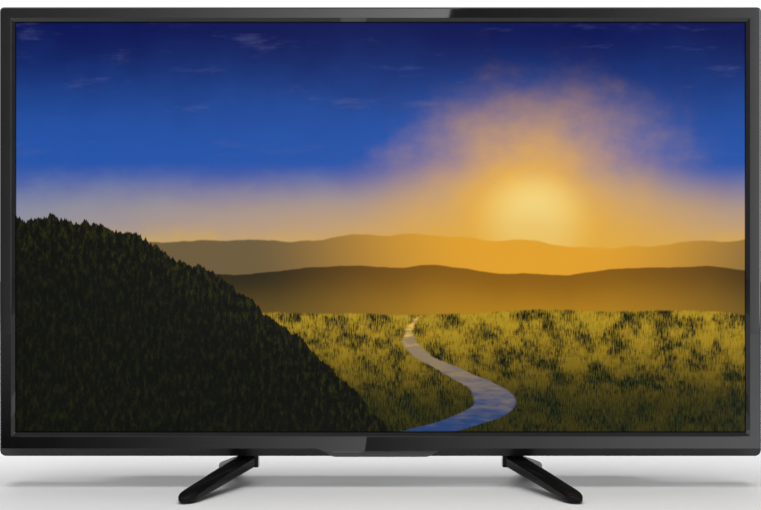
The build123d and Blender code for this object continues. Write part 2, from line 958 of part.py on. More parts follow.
def mouth_plane(mouth, setback=0.0):
    """Plane at a socket's mouth, facing outwards, with its height along Y."""
    place, outward = mouth
    normal = Vector(*outward)
    origin = Vector(*place) - normal * setback
    return Plane(origin=origin, x_dir=Vector(0, 1, 0).cross(normal), z_dir=normal)


def cut_mouth(mouth, width, height):
    """Opening in the bay's wall round a rectangular socket."""
    with BuildSketch(mouth_plane(mouth)) as opening:
        Rectangle(width + 2 * slip, height + 2 * slip)
    extrude(opening.sketch, amount=cover_wall + overrun, both=True, mode=Mode.SUBTRACT)


def cut_round_mouth(mouth, radius):
    """Opening in the bay's wall round a barrel."""
    with BuildSketch(mouth_plane(mouth)) as opening:
        RegularPolygon(radius + slip, lens_sides, major_radius=False)
    extrude(opening.sketch, amount=cover_wall + overrun, both=True, mode=Mode.SUBTRACT)


key_low_z = key_column_z - key_count * key_pitch / 2
key_places = [key_low_z + (number + 1 / 2) * key_pitch for number in range(key_count)]
cover_inner_y = rim_rear_y - cover_wall
boss_floor_y = pan_rear_y + cover_boss_floor
foot_screw_ys = []
for side in (-1, 1):
    foot_screw_ys.append((foot_neck_front_y + foot_neck_rear_y + side * foot_screw_pitch) / 2)
foot_screw_places = [(side * foot_neck_x, y) for side in (-1, 1) for y in foot_screw_ys]
speaker_slot_x = speaker_inner_x + speaker_length / 2
speaker_slot_y = pan_rear_y + speaker_front_gap + speaker_depth / 2

with BuildPart() as rear_cover:
    add(cover_form(0))
    with BuildPart(mode=Mode.PRIVATE) as cover_hollow:
        add(cover_form(cover_wall))
        with BuildSketch(screen_plane(parting_y - overrun)):
            with Locations((0, centre_z)):
                Rectangle(body_width - 2 * cover_wall, body_height - 2 * cover_wall)
        extrude(amount=-overrun)
    add(cover_hollow.part, mode=Mode.SUBTRACT)
    with BuildSketch(screen_plane(pan_rear_y)):
        with Locations(*cover_screw_places):
            RegularPolygon(cover_boss_radius, round_sides)
    extrude(amount=-(cover_inner_y + fit_gap - pan_rear_y))
    with BuildSketch(screen_plane(boss_floor_y)):
        with Locations(*cover_screw_places):
            RegularPolygon(cover_well_radius, round_sides)
    extrude(amount=-rim_depth, mode=Mode.SUBTRACT)
    with BuildSketch(screen_plane(pan_rear_y - overrun)):
        with Locations(*cover_screw_places):
            RegularPolygon(small_screw_radius + fit_gap, round_sides, major_radius=False)
    extrude(amount=-rim_depth, mode=Mode.SUBTRACT)
    with BuildSketch(screen_plane(housing_rear_y + overrun)):
        with Locations(*vesa_places):
            RegularPolygon(vesa_standoff_radius + slip, lens_sides)
    extrude(amount=2 * overrun + cover_wall, mode=Mode.SUBTRACT)
    with BuildSketch(screen_plane(housing_rear_y + overrun)):
        with Locations((0, housing_high_z - housing_top_slope / 2)):
            with GridLocations(vent_pitch, vent_pitch, top_vent_count, 1):
                Rectangle(vent_width, top_vent_height)
        for side in (-1, 1):
            with Locations((side * rear_vent_x, rear_vent_z)):
                with GridLocations(vent_pitch, rear_vent_row_pitch, rear_vent_count, 2):
                    Rectangle(vent_width, rear_vent_height)
    extrude(amount=(housing_rear_y - rim_rear_y - overrun), mode=Mode.SUBTRACT)
    for side in (-1, 1):
        with BuildSketch(Plane.XY.offset(underside_z + overrun)):
            with Locations((side * speaker_slot_x, speaker_slot_y)):
                with GridLocations(speaker_slot_pitch, speaker_slot_pitch, speaker_slot_count, 1):
                    Rectangle(speaker_slot_width, speaker_slot_length)
        extrude(amount=speaker_low_z - underside_z - overrun, mode=Mode.SUBTRACT)
    with BuildSketch(screen_plane(cover_inner_y - overrun)):
        with Locations(*[(key_column_x, place_z) for place_z in key_places]):
            Rectangle(key_width + 2 * key_gap, key_height + 2 * key_gap)
    extrude(amount=-(cover_wall + 2 * overrun), mode=Mode.SUBTRACT)
    for mouth in hdmi_mouths:
        cut_mouth(mouth, hdmi_width, hdmi_height)
    for mouth in jack_mouths:
        cut_mouth(mouth, jack_width, jack_height)
    cut_mouth(usb_mouth, usb_width, usb_height)
    cut_mouth(vga_mouth, vga_width, vga_height)
    cut_mouth(inlet_mouth, inlet_width, inlet_height)
    cut_round_mouth(coax_mouth, coax_radius)
    cut_round_mouth(aerial_mouth, aerial_barrel_radius)
    with BuildSketch(Plane.XY.offset(underside_z - overrun)):
        with Locations(*foot_screw_places):
            RegularPolygon(foot_screw_radius + fit_gap, round_sides, major_radius=False)
    extrude(amount=cover_wall + 2 * overrun, mode=Mode.SUBTRACT)
keep("rear_cover", rear_cover.part)


# Boards, their standoffs and screws, and what is soldered on them

speaker_front_y = pan_rear_y + speaker_front_gap
speaker_outer_x = speaker_inner_x + speaker_length
ear_low_z = speaker_low_z + speaker_height - ear_height
ear_centre_z = ear_low_z + ear_height / 2
ear_xs = (speaker_inner_x - ear_length / 2, speaker_outer_x + ear_length / 2)
ear_places = [(side * x, ear_centre_z) for side in (-1, 1) for x in ear_xs]
board_hole_places = main_holes + power_holes

with BuildPart() as board_standoffs:
    with BuildSketch(screen_plane(pan_rear_y)):
        with Locations(*board_hole_places, *ear_places):
            RegularPolygon(board_standoff_radius, hex_sides)
            RegularPolygon(small_screw_radius + fit_gap, hex_sides, major_radius=False, mode=Mode.SUBTRACT)
    extrude(amount=-board_standoff_height)
keep("board_standoffs", board_standoffs.part)


def pan_head_screws(places, seat_y, length):
    """Screws that run forward from their seats, heads to the rear."""
    with BuildSketch(screen_plane(seat_y)) as shanks:
        with Locations(*places):
            RegularPolygon(small_screw_radius, hex_sides)
    extrude(shanks.sketch, amount=length)
    with BuildSketch(screen_plane(seat_y)) as heads:
        with Locations(*places):
            RegularPolygon(small_head_radius, round_sides)
    extrude(heads.sketch, amount=-small_head_height)


with BuildPart() as board_screws:
    pan_head_screws(board_hole_places, board_rear_y, small_screw_length)
keep("board_screws", board_screws.part)

with BuildPart() as rear_cover_screws:
    pan_head_screws(cover_screw_places, boss_floor_y, cover_screw_length)
keep("rear_cover_screws", rear_cover_screws.part)


def circuit_board(name, inner_x, outer_x, low_z, high_z, holes):
    """A board with its four fixing holes."""
    with BuildPart() as board:
        block(
            (min(inner_x, outer_x), board_front_y, low_z),
            (max(inner_x, outer_x), board_rear_y, high_z),
        )
        with BuildSketch(screen_plane(board_front_y - overrun)) as openings:
            with Locations(*holes):
                RegularPolygon(small_screw_radius + fit_gap, round_sides, major_radius=False)
        extrude(openings.sketch, amount=-(board_thickness + 2 * overrun), mode=Mode.SUBTRACT)
    keep(name, board.part)


circuit_board(
    "main_board", main_board_inner_x, main_board_outer_x, main_board_low_z, main_board_high_z, main_holes
)
circuit_board(
    "power_board", power_board_inner_x, power_board_outer_x, power_board_low_z, power_board_high_z, power_holes
)

with BuildPart() as processor:
    with BuildSketch(screen_plane(board_rear_y)):
        with Locations((processor_x, processor_z)):
            Rectangle(processor_size, processor_size)
    extrude(amount=-processor_height)
keep("processor", processor.part)

sink_y = board_rear_y + processor_height
with BuildPart() as heat_sink:
    with BuildSketch(screen_plane(sink_y)):
        with Locations((processor_x, processor_z)):
            Rectangle(sink_size, sink_size)
    extrude(amount=-sink_base)
    with BuildSketch(screen_plane(sink_y + sink_base)):
        with Locations((processor_x, processor_z)):
            with GridLocations((sink_size - sink_fin_thickness) / (sink_fin_count - 1), 1, sink_fin_count, 1):
                Rectangle(sink_fin_thickness, sink_size)
    extrude(amount=-sink_fin_height)
keep("heat_sink", heat_sink.part)

header_places = (
    (main_board_inner_x + header_width, main_board_high_z - header_depth),
    (main_board_inner_x + header_width * 3, main_board_high_z - header_depth),
    (power_board_inner_x - header_width, power_board_high_z - header_depth),
)
with BuildPart() as board_headers:
    with BuildSketch(screen_plane(board_rear_y)):
        with Locations(*header_places):
            Rectangle(header_width, header_depth)
    extrude(amount=-header_height)
keep("board_headers", board_headers.part)

with BuildPart() as transformers:
    for core_x in transformer_xs:
        with BuildSketch(screen_plane(board_rear_y)):
            with Locations((core_x, transformer_z)):
                Rectangle(transformer_core, transformer_length)
        extrude(amount=-transformer_height)
        with BuildSketch(screen_plane(board_rear_y + transformer_height / 4)):
            with Locations((core_x, transformer_z)):
                Rectangle(transformer_width, transformer_core)
        extrude(amount=-transformer_height / 2)
keep("transformers", transformers.part)

with BuildPart() as capacitors:
    with BuildSketch(screen_plane(board_rear_y)):
        with Locations(*bulk_places):
            RegularPolygon(bulk_radius, lens_sides)
    extrude(amount=-bulk_height)
    with BuildSketch(screen_plane(board_rear_y)):
        with Locations(*small_can_places):
            RegularPolygon(small_can_radius, well_sides)
    extrude(amount=-small_can_height)
keep("capacitors", capacitors.part)

with BuildPart() as power_heat_sink:
    with BuildSketch(screen_plane(board_rear_y)):
        with Locations((plate_sink_x, transformer_z)):
            Rectangle(plate_sink_thickness, plate_sink_length)
    extrude(amount=-plate_sink_height)
keep("power_heat_sink", power_heat_sink.part)


def socket_shell(mouth, width, height, tongue):
    """A pressed shell with a contact tongue standing in its mouth."""
    with BuildSketch(mouth_plane(mouth)) as outline:
        Rectangle(width, height)
    extrude(outline.sketch, amount=-socket_depth)
    with BuildSketch(mouth_plane(mouth)) as hollow:
        Rectangle(width - 2 * socket_wall, height - 2 * socket_wall)
        Rectangle(width - 2 * (socket_wall + tongue_setback), tongue, mode=Mode.SUBTRACT)
    extrude(hollow.sketch, amount=-socket_recess, mode=Mode.SUBTRACT)


with BuildPart() as hdmi_sockets:
    for mouth in hdmi_mouths:
        socket_shell(mouth, hdmi_width, hdmi_height, hdmi_tongue)
keep("hdmi_sockets", hdmi_sockets.part)

with BuildPart() as usb_socket:
    socket_shell(usb_mouth, usb_width, usb_height, usb_tongue)
keep("usb_socket", usb_socket.part)


def round_hole_socket(mouth, outline, bore_radius):
    """A moulded socket body with a round hole in its mouth."""
    extrude(outline, amount=-socket_depth)
    with BuildSketch(mouth_plane(mouth)) as bore:
        RegularPolygon(bore_radius, well_sides)
    extrude(bore.sketch, amount=-socket_recess, mode=Mode.SUBTRACT)


with BuildPart() as audio_sockets:
    for mouth in jack_mouths:
        with BuildSketch(mouth_plane(mouth), mode=Mode.PRIVATE) as jack_outline:
            Rectangle(jack_width, jack_height)
        round_hole_socket(mouth, jack_outline.sketch, jack_bore_radius)
    with BuildSketch(mouth_plane(coax_mouth), mode=Mode.PRIVATE) as coax_outline:
        RegularPolygon(coax_radius, lens_sides)
    round_hole_socket(coax_mouth, coax_outline.sketch, coax_bore_radius)
keep("audio_sockets", audio_sockets.part)

with BuildPart() as vga_socket:
    with BuildSketch(mouth_plane(vga_mouth, vga_shell_depth)):
        Rectangle(vga_width, vga_height)
    extrude(amount=-(socket_depth - vga_shell_depth))
    with BuildSketch(mouth_plane(vga_mouth, vga_shell_depth)):
        facet_rectangle(vga_shell_width, vga_shell_height, vga_shell_corner)
    extrude(amount=vga_shell_depth)
keep("vga_socket", vga_socket.part)

with BuildPart() as tuner:
    with BuildSketch(mouth_plane(aerial_mouth, aerial_barrel_length)):
        Rectangle(tuner_width, tuner_height)
    extrude(amount=-tuner_length)
    with BuildSketch(mouth_plane(aerial_mouth, aerial_barrel_length)):
        RegularPolygon(aerial_barrel_radius, lens_sides)
        RegularPolygon(aerial_bore_radius, lens_sides, mode=Mode.SUBTRACT)
        RegularPolygon(aerial_pin_radius, round_sides)
    extrude(amount=aerial_barrel_length)
keep("tuner", tuner.part)

with BuildPart() as mains_inlet:
    with BuildSketch(mouth_plane(inlet_mouth)):
        Rectangle(inlet_width, inlet_height)
    extrude(amount=-(inlet_recess + socket_depth / 2))
    with BuildSketch(mouth_plane(inlet_mouth)):
        facet_slot(inlet_mouth_width, inlet_mouth_height)
    extrude(amount=-inlet_recess, mode=Mode.SUBTRACT)
    with BuildSketch(mouth_plane(inlet_mouth, inlet_recess)):
        with GridLocations(inlet_pin_pitch, 1, 2, 1):
            RegularPolygon(inlet_pin_radius, round_sides)
    extrude(amount=inlet_pin_length)
keep("mains_inlet", mains_inlet.part)

with BuildPart() as vesa_standoffs:
    with BuildSketch(screen_plane(pan_rear_y)):
        with Locations(*vesa_places):
            RegularPolygon(vesa_standoff_radius, hex_sides)
    extrude(amount=-(housing_rear_y - vesa_sink - pan_rear_y))
    with BuildSketch(screen_plane(housing_rear_y - vesa_sink)):
        with Locations(*vesa_places):
            Circle(vesa_hole_radius)
    extrude(amount=vesa_hole_depth, mode=Mode.SUBTRACT)
keep("vesa_standoffs", vesa_standoffs.part)


# Keys, their guide, switches and board, on the inner face of the rim

key_board_rear_y = pan_rear_y + key_board_thickness
switch_rear_y = key_board_rear_y + key_switch_height
key_button_height = cover_inner_y - key_flange_thickness - key_travel - key_slack - switch_rear_y
key_bank = key_count * key_pitch

with BuildPart() as key_board:
    with BuildSketch(screen_plane(pan_rear_y)):
        with Locations((key_column_x, key_column_z)):
            Rectangle(key_board_width, key_bank)
    extrude(amount=-key_board_thickness)
keep("key_board", key_board.part)

with BuildPart() as key_switches:
    with BuildSketch(screen_plane(key_board_rear_y)):
        with Locations(*[(key_column_x, place_z) for place_z in key_places]):
            Rectangle(key_switch_size, key_switch_size)
    extrude(amount=-key_switch_height)
    with BuildSketch(screen_plane(switch_rear_y)):
        with Locations(*[(key_column_x, place_z) for place_z in key_places]):
            RegularPolygon(key_button_radius, round_sides)
    extrude(amount=-key_button_height)
keep("key_switches", key_switches.part)

key_pocket_width = key_width + 2 * (key_flange + key_gap)
key_pocket_height = key_height + 2 * (key_flange + key_gap)
with BuildPart() as key_guide:
    with BuildSketch(screen_plane(key_board_rear_y)):
        with Locations((key_column_x, key_column_z)):
            Rectangle(key_board_width, key_bank)
        with Locations(*[(key_column_x, place_z) for place_z in key_places]):
            Rectangle(key_pocket_width, key_pocket_height, mode=Mode.SUBTRACT)
    extrude(amount=-(cover_inner_y - key_board_rear_y))
keep("key_guide", key_guide.part)

key_names = (
    "key_volume_down",
    "key_volume_up",
    "key_channel_down",
    "key_channel_up",
    "key_menu",
    "key_source",
    "key_power",
)
for key_name, place_z in zip(key_names, key_places):
    with BuildPart() as key:
        with BuildSketch(screen_plane(cover_inner_y - key_flange_thickness)):
            with Locations((key_column_x, place_z)):
                Rectangle(key_width + 2 * key_flange, key_height + 2 * key_flange)
        extrude(amount=-key_flange_thickness)
        with BuildSketch(screen_plane(cover_inner_y)):
            with Locations((key_column_x, place_z)):
                Rectangle(key_width, key_height)
        extrude(amount=-(cover_wall + key_proud))
        chamfer(key.faces().sort_by(Axis.Y)[-1].edges(), length=key_chamfer)
    keep(key_name, key.part)


# Speakers: sealed boxes that fire down through the slots, hung on rubber grommets

ear_front_y = pan_rear_y + board_standoff_height
for side, side_name in ((-1, "left"), (1, "right")):
    box_x = side * (speaker_inner_x + speaker_length / 2)
    box_z = speaker_low_z + speaker_height / 2
    box_y = speaker_front_y + speaker_depth / 2
    own_ears = [(side * x, ear_centre_z) for x in ear_xs]
    with BuildPart() as speaker_box:
        with BuildSketch(screen_plane(speaker_front_y)):
            with Locations((box_x, box_z)):
                facet_rectangle(speaker_length, speaker_height, speaker_round)
        extrude(amount=-speaker_depth)
        with BuildSketch(Plane.XY.offset(speaker_low_z)):
            with Locations((box_x, box_y)):
                facet_slot(cone_length + 2 * slip, cone_width + 2 * slip)
        extrude(amount=cone_recess, mode=Mode.SUBTRACT)
        with BuildSketch(screen_plane(ear_front_y)):
            with Locations(*own_ears):
                Rectangle(ear_length, ear_height)
        extrude(amount=-ear_thickness)
        with BuildSketch(screen_plane(ear_front_y)):
            with Locations(*own_ears):
                RegularPolygon(grommet_radius + fit_gap, round_sides, major_radius=False)
        extrude(amount=-ear_thickness, mode=Mode.SUBTRACT)
    keep("speaker_box_" + side_name, speaker_box.part)
    with BuildPart() as cone:
        with BuildSketch(Plane.XY.offset(speaker_low_z)):
            with Locations((box_x, box_y)):
                facet_slot(cone_length, cone_width)
        extrude(amount=cone_recess)
        with BuildSketch(Plane.XY.offset(speaker_low_z)):
            with Locations((box_x, box_y)):
                facet_slot(cone_length - 2 * cone_edge, cone_width - 2 * cone_edge)
        extrude(amount=cone_dip, mode=Mode.SUBTRACT)
    keep("speaker_cone_" + side_name, cone.part)

with BuildPart() as speaker_grommets:
    with BuildSketch(screen_plane(ear_front_y)):
        with Locations(*ear_places):
            RegularPolygon(grommet_radius, round_sides)
            RegularPolygon(grommet_bore_radius, round_sides, mode=Mode.SUBTRACT)
    extrude(amount=-ear_thickness)
keep("speaker_grommets", speaker_grommets.part)

speaker_screw_length = ear_thickness + small_screw_length
with BuildPart() as speaker_screws:
    pan_head_screws(ear_places, ear_front_y + ear_thickness, speaker_screw_length)
keep("speaker_screws", speaker_screws.part)


# Wire leads: square bundles from the boards to the backlight, the keys and the speakers


def lead_run(*corners):
    """A bundle through the low corners of its turns, added inside the block that is open."""
    for first, second in zip(corners, corners[1:]):
        low = [min(first[axis], second[axis]) for axis in range(3)]
        high = [max(first[axis], second[axis]) + lead_size for axis in range(3)]
        block(low, high)


header_top_z = main_board_high_z - header_depth / 2
lead_over_edge_z = main_board_high_z + lead_edge_gap
lead_rear_y = board_rear_y + lead_header_lift
key_lead_x = header_places[1][0]
key_lead_z = main_board_high_z - key_lead_drop
key_lead_end_x = key_column_x - key_board_width / 2 - lead_size
speaker_top_z = speaker_low_z + speaker_height
right_lead_x = speaker_inner_x + speaker_lead_setback
left_lead_z = speaker_top_z + speaker_lead_rise
left_lead_end_x = main_board_inner_x - 2 * lead_size
left_lead_end_z = main_board_low_z + board_hole_inset
with BuildPart() as wire_leads:
    lead_run(
        (backlight_lead_x, lead_rear_y, header_top_z),
        (backlight_lead_x, lead_rear_y, lead_over_edge_z),
        (backlight_lead_x, pan_rear_y, lead_over_edge_z),
        (backlight_lead_x, pan_rear_y, backlight_lead_z),
        (backlight_lead_x, pan_floor_y, backlight_lead_z),
    )
    lead_run(
        (key_lead_x, lead_rear_y, header_top_z),
        (key_lead_x, lead_rear_y, lead_over_edge_z),
        (key_lead_x, pan_rear_y, lead_over_edge_z),
        (key_lead_x, pan_rear_y, key_lead_z),
        (key_lead_end_x, pan_rear_y, key_lead_z),
    )
    lead_run(
        (right_lead_x, board_rear_y, speaker_top_z),
        (right_lead_x, board_rear_y, main_board_low_z),
    )
    lead_run(
        (-right_lead_x, speaker_lead_y, speaker_top_z),
        (-right_lead_x, speaker_lead_y, left_lead_z),
        (left_lead_end_x, speaker_lead_y, left_lead_z),
        (left_lead_end_x, speaker_lead_y, left_lead_end_z),
        (left_lead_end_x, board_front_y, left_lead_end_z),
        (left_lead_end_x + lead_size, board_front_y, left_lead_end_z),
    )
keep("wire_leads", wire_leads.part)


# Stand brackets inside the body, and the feet

bracket_low_z = underside_z + cover_wall
foot_neck_centre_y = (foot_neck_front_y + foot_neck_rear_y) / 2
with BuildPart() as stand_brackets:
    for side in (-1, 1):
        bracket_low_x = side * foot_neck_x - bracket_width / 2
        bracket_high_x = side * foot_neck_x + bracket_width / 2
        block(
            (bracket_low_x, parting_y + bezel_wall, bracket_low_z),
            (bracket_high_x, cover_inner_y, bracket_low_z + bracket_thickness),
        )
        block(
            (bracket_low_x, pan_rear_y, bracket_low_z),
            (bracket_high_x, pan_rear_y + bracket_thickness, bracket_low_z + bracket_rise),
        )
    with BuildSketch(Plane.XY.offset(bracket_low_z - overrun)):
        with Locations(*foot_screw_places):
            RegularPolygon(foot_screw_radius + fit_gap, round_sides, major_radius=False)
    extrude(amount=bracket_thickness + 2 * overrun, mode=Mode.SUBTRACT)
keep("stand_brackets", stand_brackets.part)

foot_neck_low_z = underside_z - foot_neck_thickness
foot_sole_z = pad_proud


def leg_line(side, tip_x, tip_y):
    """Start and end of a leg on the floor, ended short so that its rounded tip keeps the reach."""
    start = Vector(side * foot_neck_x, foot_neck_centre_y, 0)
    end = Vector(side * tip_x, tip_y, 0)
    heading = (end - start).normalized()
    overhang = abs(heading.X) * foot_width * leg_width_shares[-1] / 2
    return start, end - Vector(0, math.copysign(overhang, tip_y), 0)


def leg_sections(side, tip_x, tip_y):
    """Upright rounded sections along one leg, from the neck out to its tip."""
    start, end = leg_line(side, tip_x, tip_y)
    heading = (end - start).normalized()
    across = Vector(0, 0, 1).cross(heading)
    neck_top_z = underside_z - slip
    sections = []
    table = zip(leg_shares, leg_width_shares, leg_rise_shares, leg_height_shares)
    for share, width_share, rise_share, height_share in table:
        low_z = foot_sole_z + rise_share * (foot_neck_low_z - foot_sole_z)
        full_top_z = foot_sole_z + foot_tip_thickness
        high_z = full_top_z + rise_share * (neck_top_z - full_top_z)
        height = (high_z - low_z) * height_share
        centre = start + (end - start) * share + Vector(0, 0, low_z + height / 2)
        with BuildSketch(Plane(origin=centre, x_dir=across, z_dir=heading)) as section:
            round_radius = min(foot_edge_round, foot_width * width_share / 3, height / 3)
            facet_rectangle(foot_width * width_share, height, round_radius)
        sections.append(section.sketch)
    return sections


pad_places = []
for side in (-1, 1):
    for tip_x, tip_y in ((foot_front_tip_x, -foot_reach), (foot_rear_tip_x, foot_reach)):
        leg_start, leg_end = leg_line(side, tip_x, tip_y)
        setback = pad_radius + foot_edge_round + pad_thickness
        place = leg_end - (leg_end - leg_start).normalized() * setback
        pad_places.append((place.X, place.Y))

foot_screw_seat_z = foot_neck_low_z + foot_screw_head_height
for side, side_name in ((-1, "left"), (1, "right")):
    with BuildPart() as foot:
        loft(leg_sections(side, foot_front_tip_x, -foot_reach), ruled=True)
        loft(leg_sections(side, foot_rear_tip_x, foot_reach), ruled=True)
        with BuildSketch(Plane.XY.offset(foot_neck_low_z)):
            with Locations((side * foot_neck_x, foot_neck_centre_y)):
                facet_rectangle(foot_neck_width, foot_neck_rear_y - foot_neck_front_y, foot_neck_corner)
        extrude(amount=foot_neck_thickness)
        with BuildSketch(Plane.XY):
            with Locations(*pad_places):
                RegularPolygon(pad_radius + fit_gap, pad_sides, major_radius=False)
        extrude(amount=pad_thickness, mode=Mode.SUBTRACT)
        with BuildSketch(Plane.XY.offset(foot_neck_low_z - overrun)):
            with Locations(*foot_screw_places):
                RegularPolygon(foot_screw_radius + fit_gap, round_sides, major_radius=False)
        extrude(amount=foot_neck_thickness + 2 * overrun, mode=Mode.SUBTRACT)
        with BuildSketch(Plane.XY.offset(foot_neck_low_z - overrun)):
            with Locations(*foot_screw_places):
                RegularPolygon(foot_screw_head_radius + slip, well_sides, major_radius=False)
        extrude(amount=foot_screw_head_height + overrun, mode=Mode.SUBTRACT)
    keep("foot_" + side_name, foot.part)

with BuildPart() as foot_screws:
    with BuildSketch(Plane.XY.offset(foot_screw_seat_z)):
        with Locations(*foot_screw_places):
            RegularPolygon(foot_screw_radius, round_sides)
    extrude(amount=foot_screw_length)
    with BuildSketch(Plane.XY.offset(foot_neck_low_z)):
        with Locations(*foot_screw_places):
            RegularPolygon(foot_screw_head_radius, well_sides)
    extrude(amount=foot_screw_head_height)
keep("foot_screws", foot_screws.part)

with BuildPart() as foot_pads:
    with BuildSketch(Plane.XY):
        with Locations(*pad_places):
            RegularPolygon(pad_radius, pad_sides)
    extrude(amount=pad_thickness)
keep("foot_pads", foot_pads.part)


# Flat display cable from the main board's header up to the timing board's shield

cable_width = 18.0
cable_thickness = 0.4
cable_bend = 4.0
cable_x = header_places[0][0]
cable_start_z = header_places[0][1] + header_depth / 2
cable_end_z = timing_low[1] - timing_shield_margin
cable_end_y = timing_rear_y
cable_start_y = board_rear_y + header_height / 2
cable_run = (cable_end_z - cable_start_z) / 3
with BuildPart() as display_cable:
    with BuildSketch(Plane.YZ.offset(cable_x - cable_width / 2)):
        with BuildLine():
            FilletPolyline(
                (cable_start_y, cable_start_z),
                (cable_start_y, cable_start_z + cable_run),
                (cable_end_y, cable_end_z - cable_run),
                (cable_end_y, cable_end_z),
                radius=cable_bend,
            )
        trace(line_width=cable_thickness)
    extrude(amount=cable_width)
keep("display_cable", display_cable.part)
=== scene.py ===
"""Flat screen TV on two splayed feet: its looks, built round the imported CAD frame.

Metres, in the CAD frame: X to the viewer's right, Y to the back, Z up, origin on the floor.
"""

import math
from types import SimpleNamespace

import bmesh
import bpy
from mathutils import Matrix, Vector


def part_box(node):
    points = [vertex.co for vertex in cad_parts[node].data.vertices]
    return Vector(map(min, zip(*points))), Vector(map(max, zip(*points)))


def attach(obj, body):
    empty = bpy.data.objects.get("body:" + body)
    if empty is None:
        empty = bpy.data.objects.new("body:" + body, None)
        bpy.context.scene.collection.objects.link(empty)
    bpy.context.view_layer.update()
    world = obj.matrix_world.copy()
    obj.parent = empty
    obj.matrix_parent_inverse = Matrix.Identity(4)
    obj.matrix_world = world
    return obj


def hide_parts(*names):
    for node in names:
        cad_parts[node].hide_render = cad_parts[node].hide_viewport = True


bl_info = {
    "name": "Flat Screen TV",
    "version": (1, 0, 0),
    "blender": (4, 5, 0),
    "location": "3D View > Sidebar > Flat TV",
    "description": "Builds a flat screen TV with its bezel, picture, feet, rear cover and small parts",
    "category": "Object",
}

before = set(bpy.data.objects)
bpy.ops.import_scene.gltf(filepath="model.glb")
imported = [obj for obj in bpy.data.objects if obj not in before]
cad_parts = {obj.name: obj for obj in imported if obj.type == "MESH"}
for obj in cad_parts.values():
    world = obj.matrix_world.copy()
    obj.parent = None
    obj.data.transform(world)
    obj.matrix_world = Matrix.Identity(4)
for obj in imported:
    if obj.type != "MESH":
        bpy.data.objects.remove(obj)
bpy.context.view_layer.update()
CABINET = "cabinet"
MM = 0.001


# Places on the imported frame


def box_of(node):
    """Low and high corner of a CAD node as a simple record."""
    low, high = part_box(node)
    return SimpleNamespace(low=Vector(low), high=Vector(high), centre=(Vector(low) + Vector(high)) / 2)


BEZEL = box_of("front_bezel")
COVER = box_of("rear_cover")
CELL = box_of("lcd_cell")
WINDOW = box_of("ir_window")
SIDE_BORDER = 14.15 * MM
LOWER_BORDER = 23.2 * MM
UPPER_BORDER = 13.5 * MM


# Node trees


def maths(operation, swapped=False):
    """Method of a value that adds a Math node on it and its partner, in order or swapped."""

    def run(self, *others):
        inputs = (*others, self) if swapped else (self, *others)
        return self.tree.node("ShaderNodeMath", {"operation": operation}, dict(enumerate(inputs))).value()

    return run


class Value:
    """One output socket, so that maths on it can be written as an expression."""

    __add__ = __radd__ = maths("ADD")
    __mul__ = __rmul__ = maths("MULTIPLY")
    __sub__ = maths("SUBTRACT")
    __rsub__ = maths("SUBTRACT", True)
    __truediv__ = maths("DIVIDE")
    __pow__ = maths("POWER")
    __gt__ = maths("GREATER_THAN")
    __lt__ = maths("LESS_THAN")
    __abs__ = maths("ABSOLUTE")
    sine = maths("SINE")
    cosine = maths("COSINE")
    root = maths("SQRT")
    sign = maths("SIGN")
    least = maths("MINIMUM")
    most = maths("MAXIMUM")
    fold = maths("PINGPONG")

    def __init__(self, tree, socket):
        self.tree = tree
        self.socket = socket

    def wave(self):
        """A triangle wave from 0 to 1 and back for each whole number."""
        return self.fold(0.5) * 2.0

    def clamp(self):
        return self.least(1.0).most(0.0)

    def step(self, low, high):
        """Smooth rise from 0 to 1 between two values."""
        inputs = {"Value": self, "From Min": low, "From Max": high}
        return self.tree.node("ShaderNodeMapRange", {"interpolation_type": "SMOOTHSTEP"}, inputs).value()


def tone(colour):
    """Linear colour of a six-digit sRGB code; a colour that is linear already stays."""
    if not isinstance(colour, str):
        return colour
    parts = [int(colour[i : i + 2], 16) / 255 for i in (0, 2, 4)]
    return tuple(p / 12.92 if p < 0.04045 else ((p + 0.055) / 1.055) ** 2.4 for p in parts)


class Node:
    """A node that was just added, with its outputs by name or number."""

    def __init__(self, tree, made):
        self.tree = tree
        self.made = made

    def value(self, key=0):
        return Value(self.tree, self.made.outputs[key])


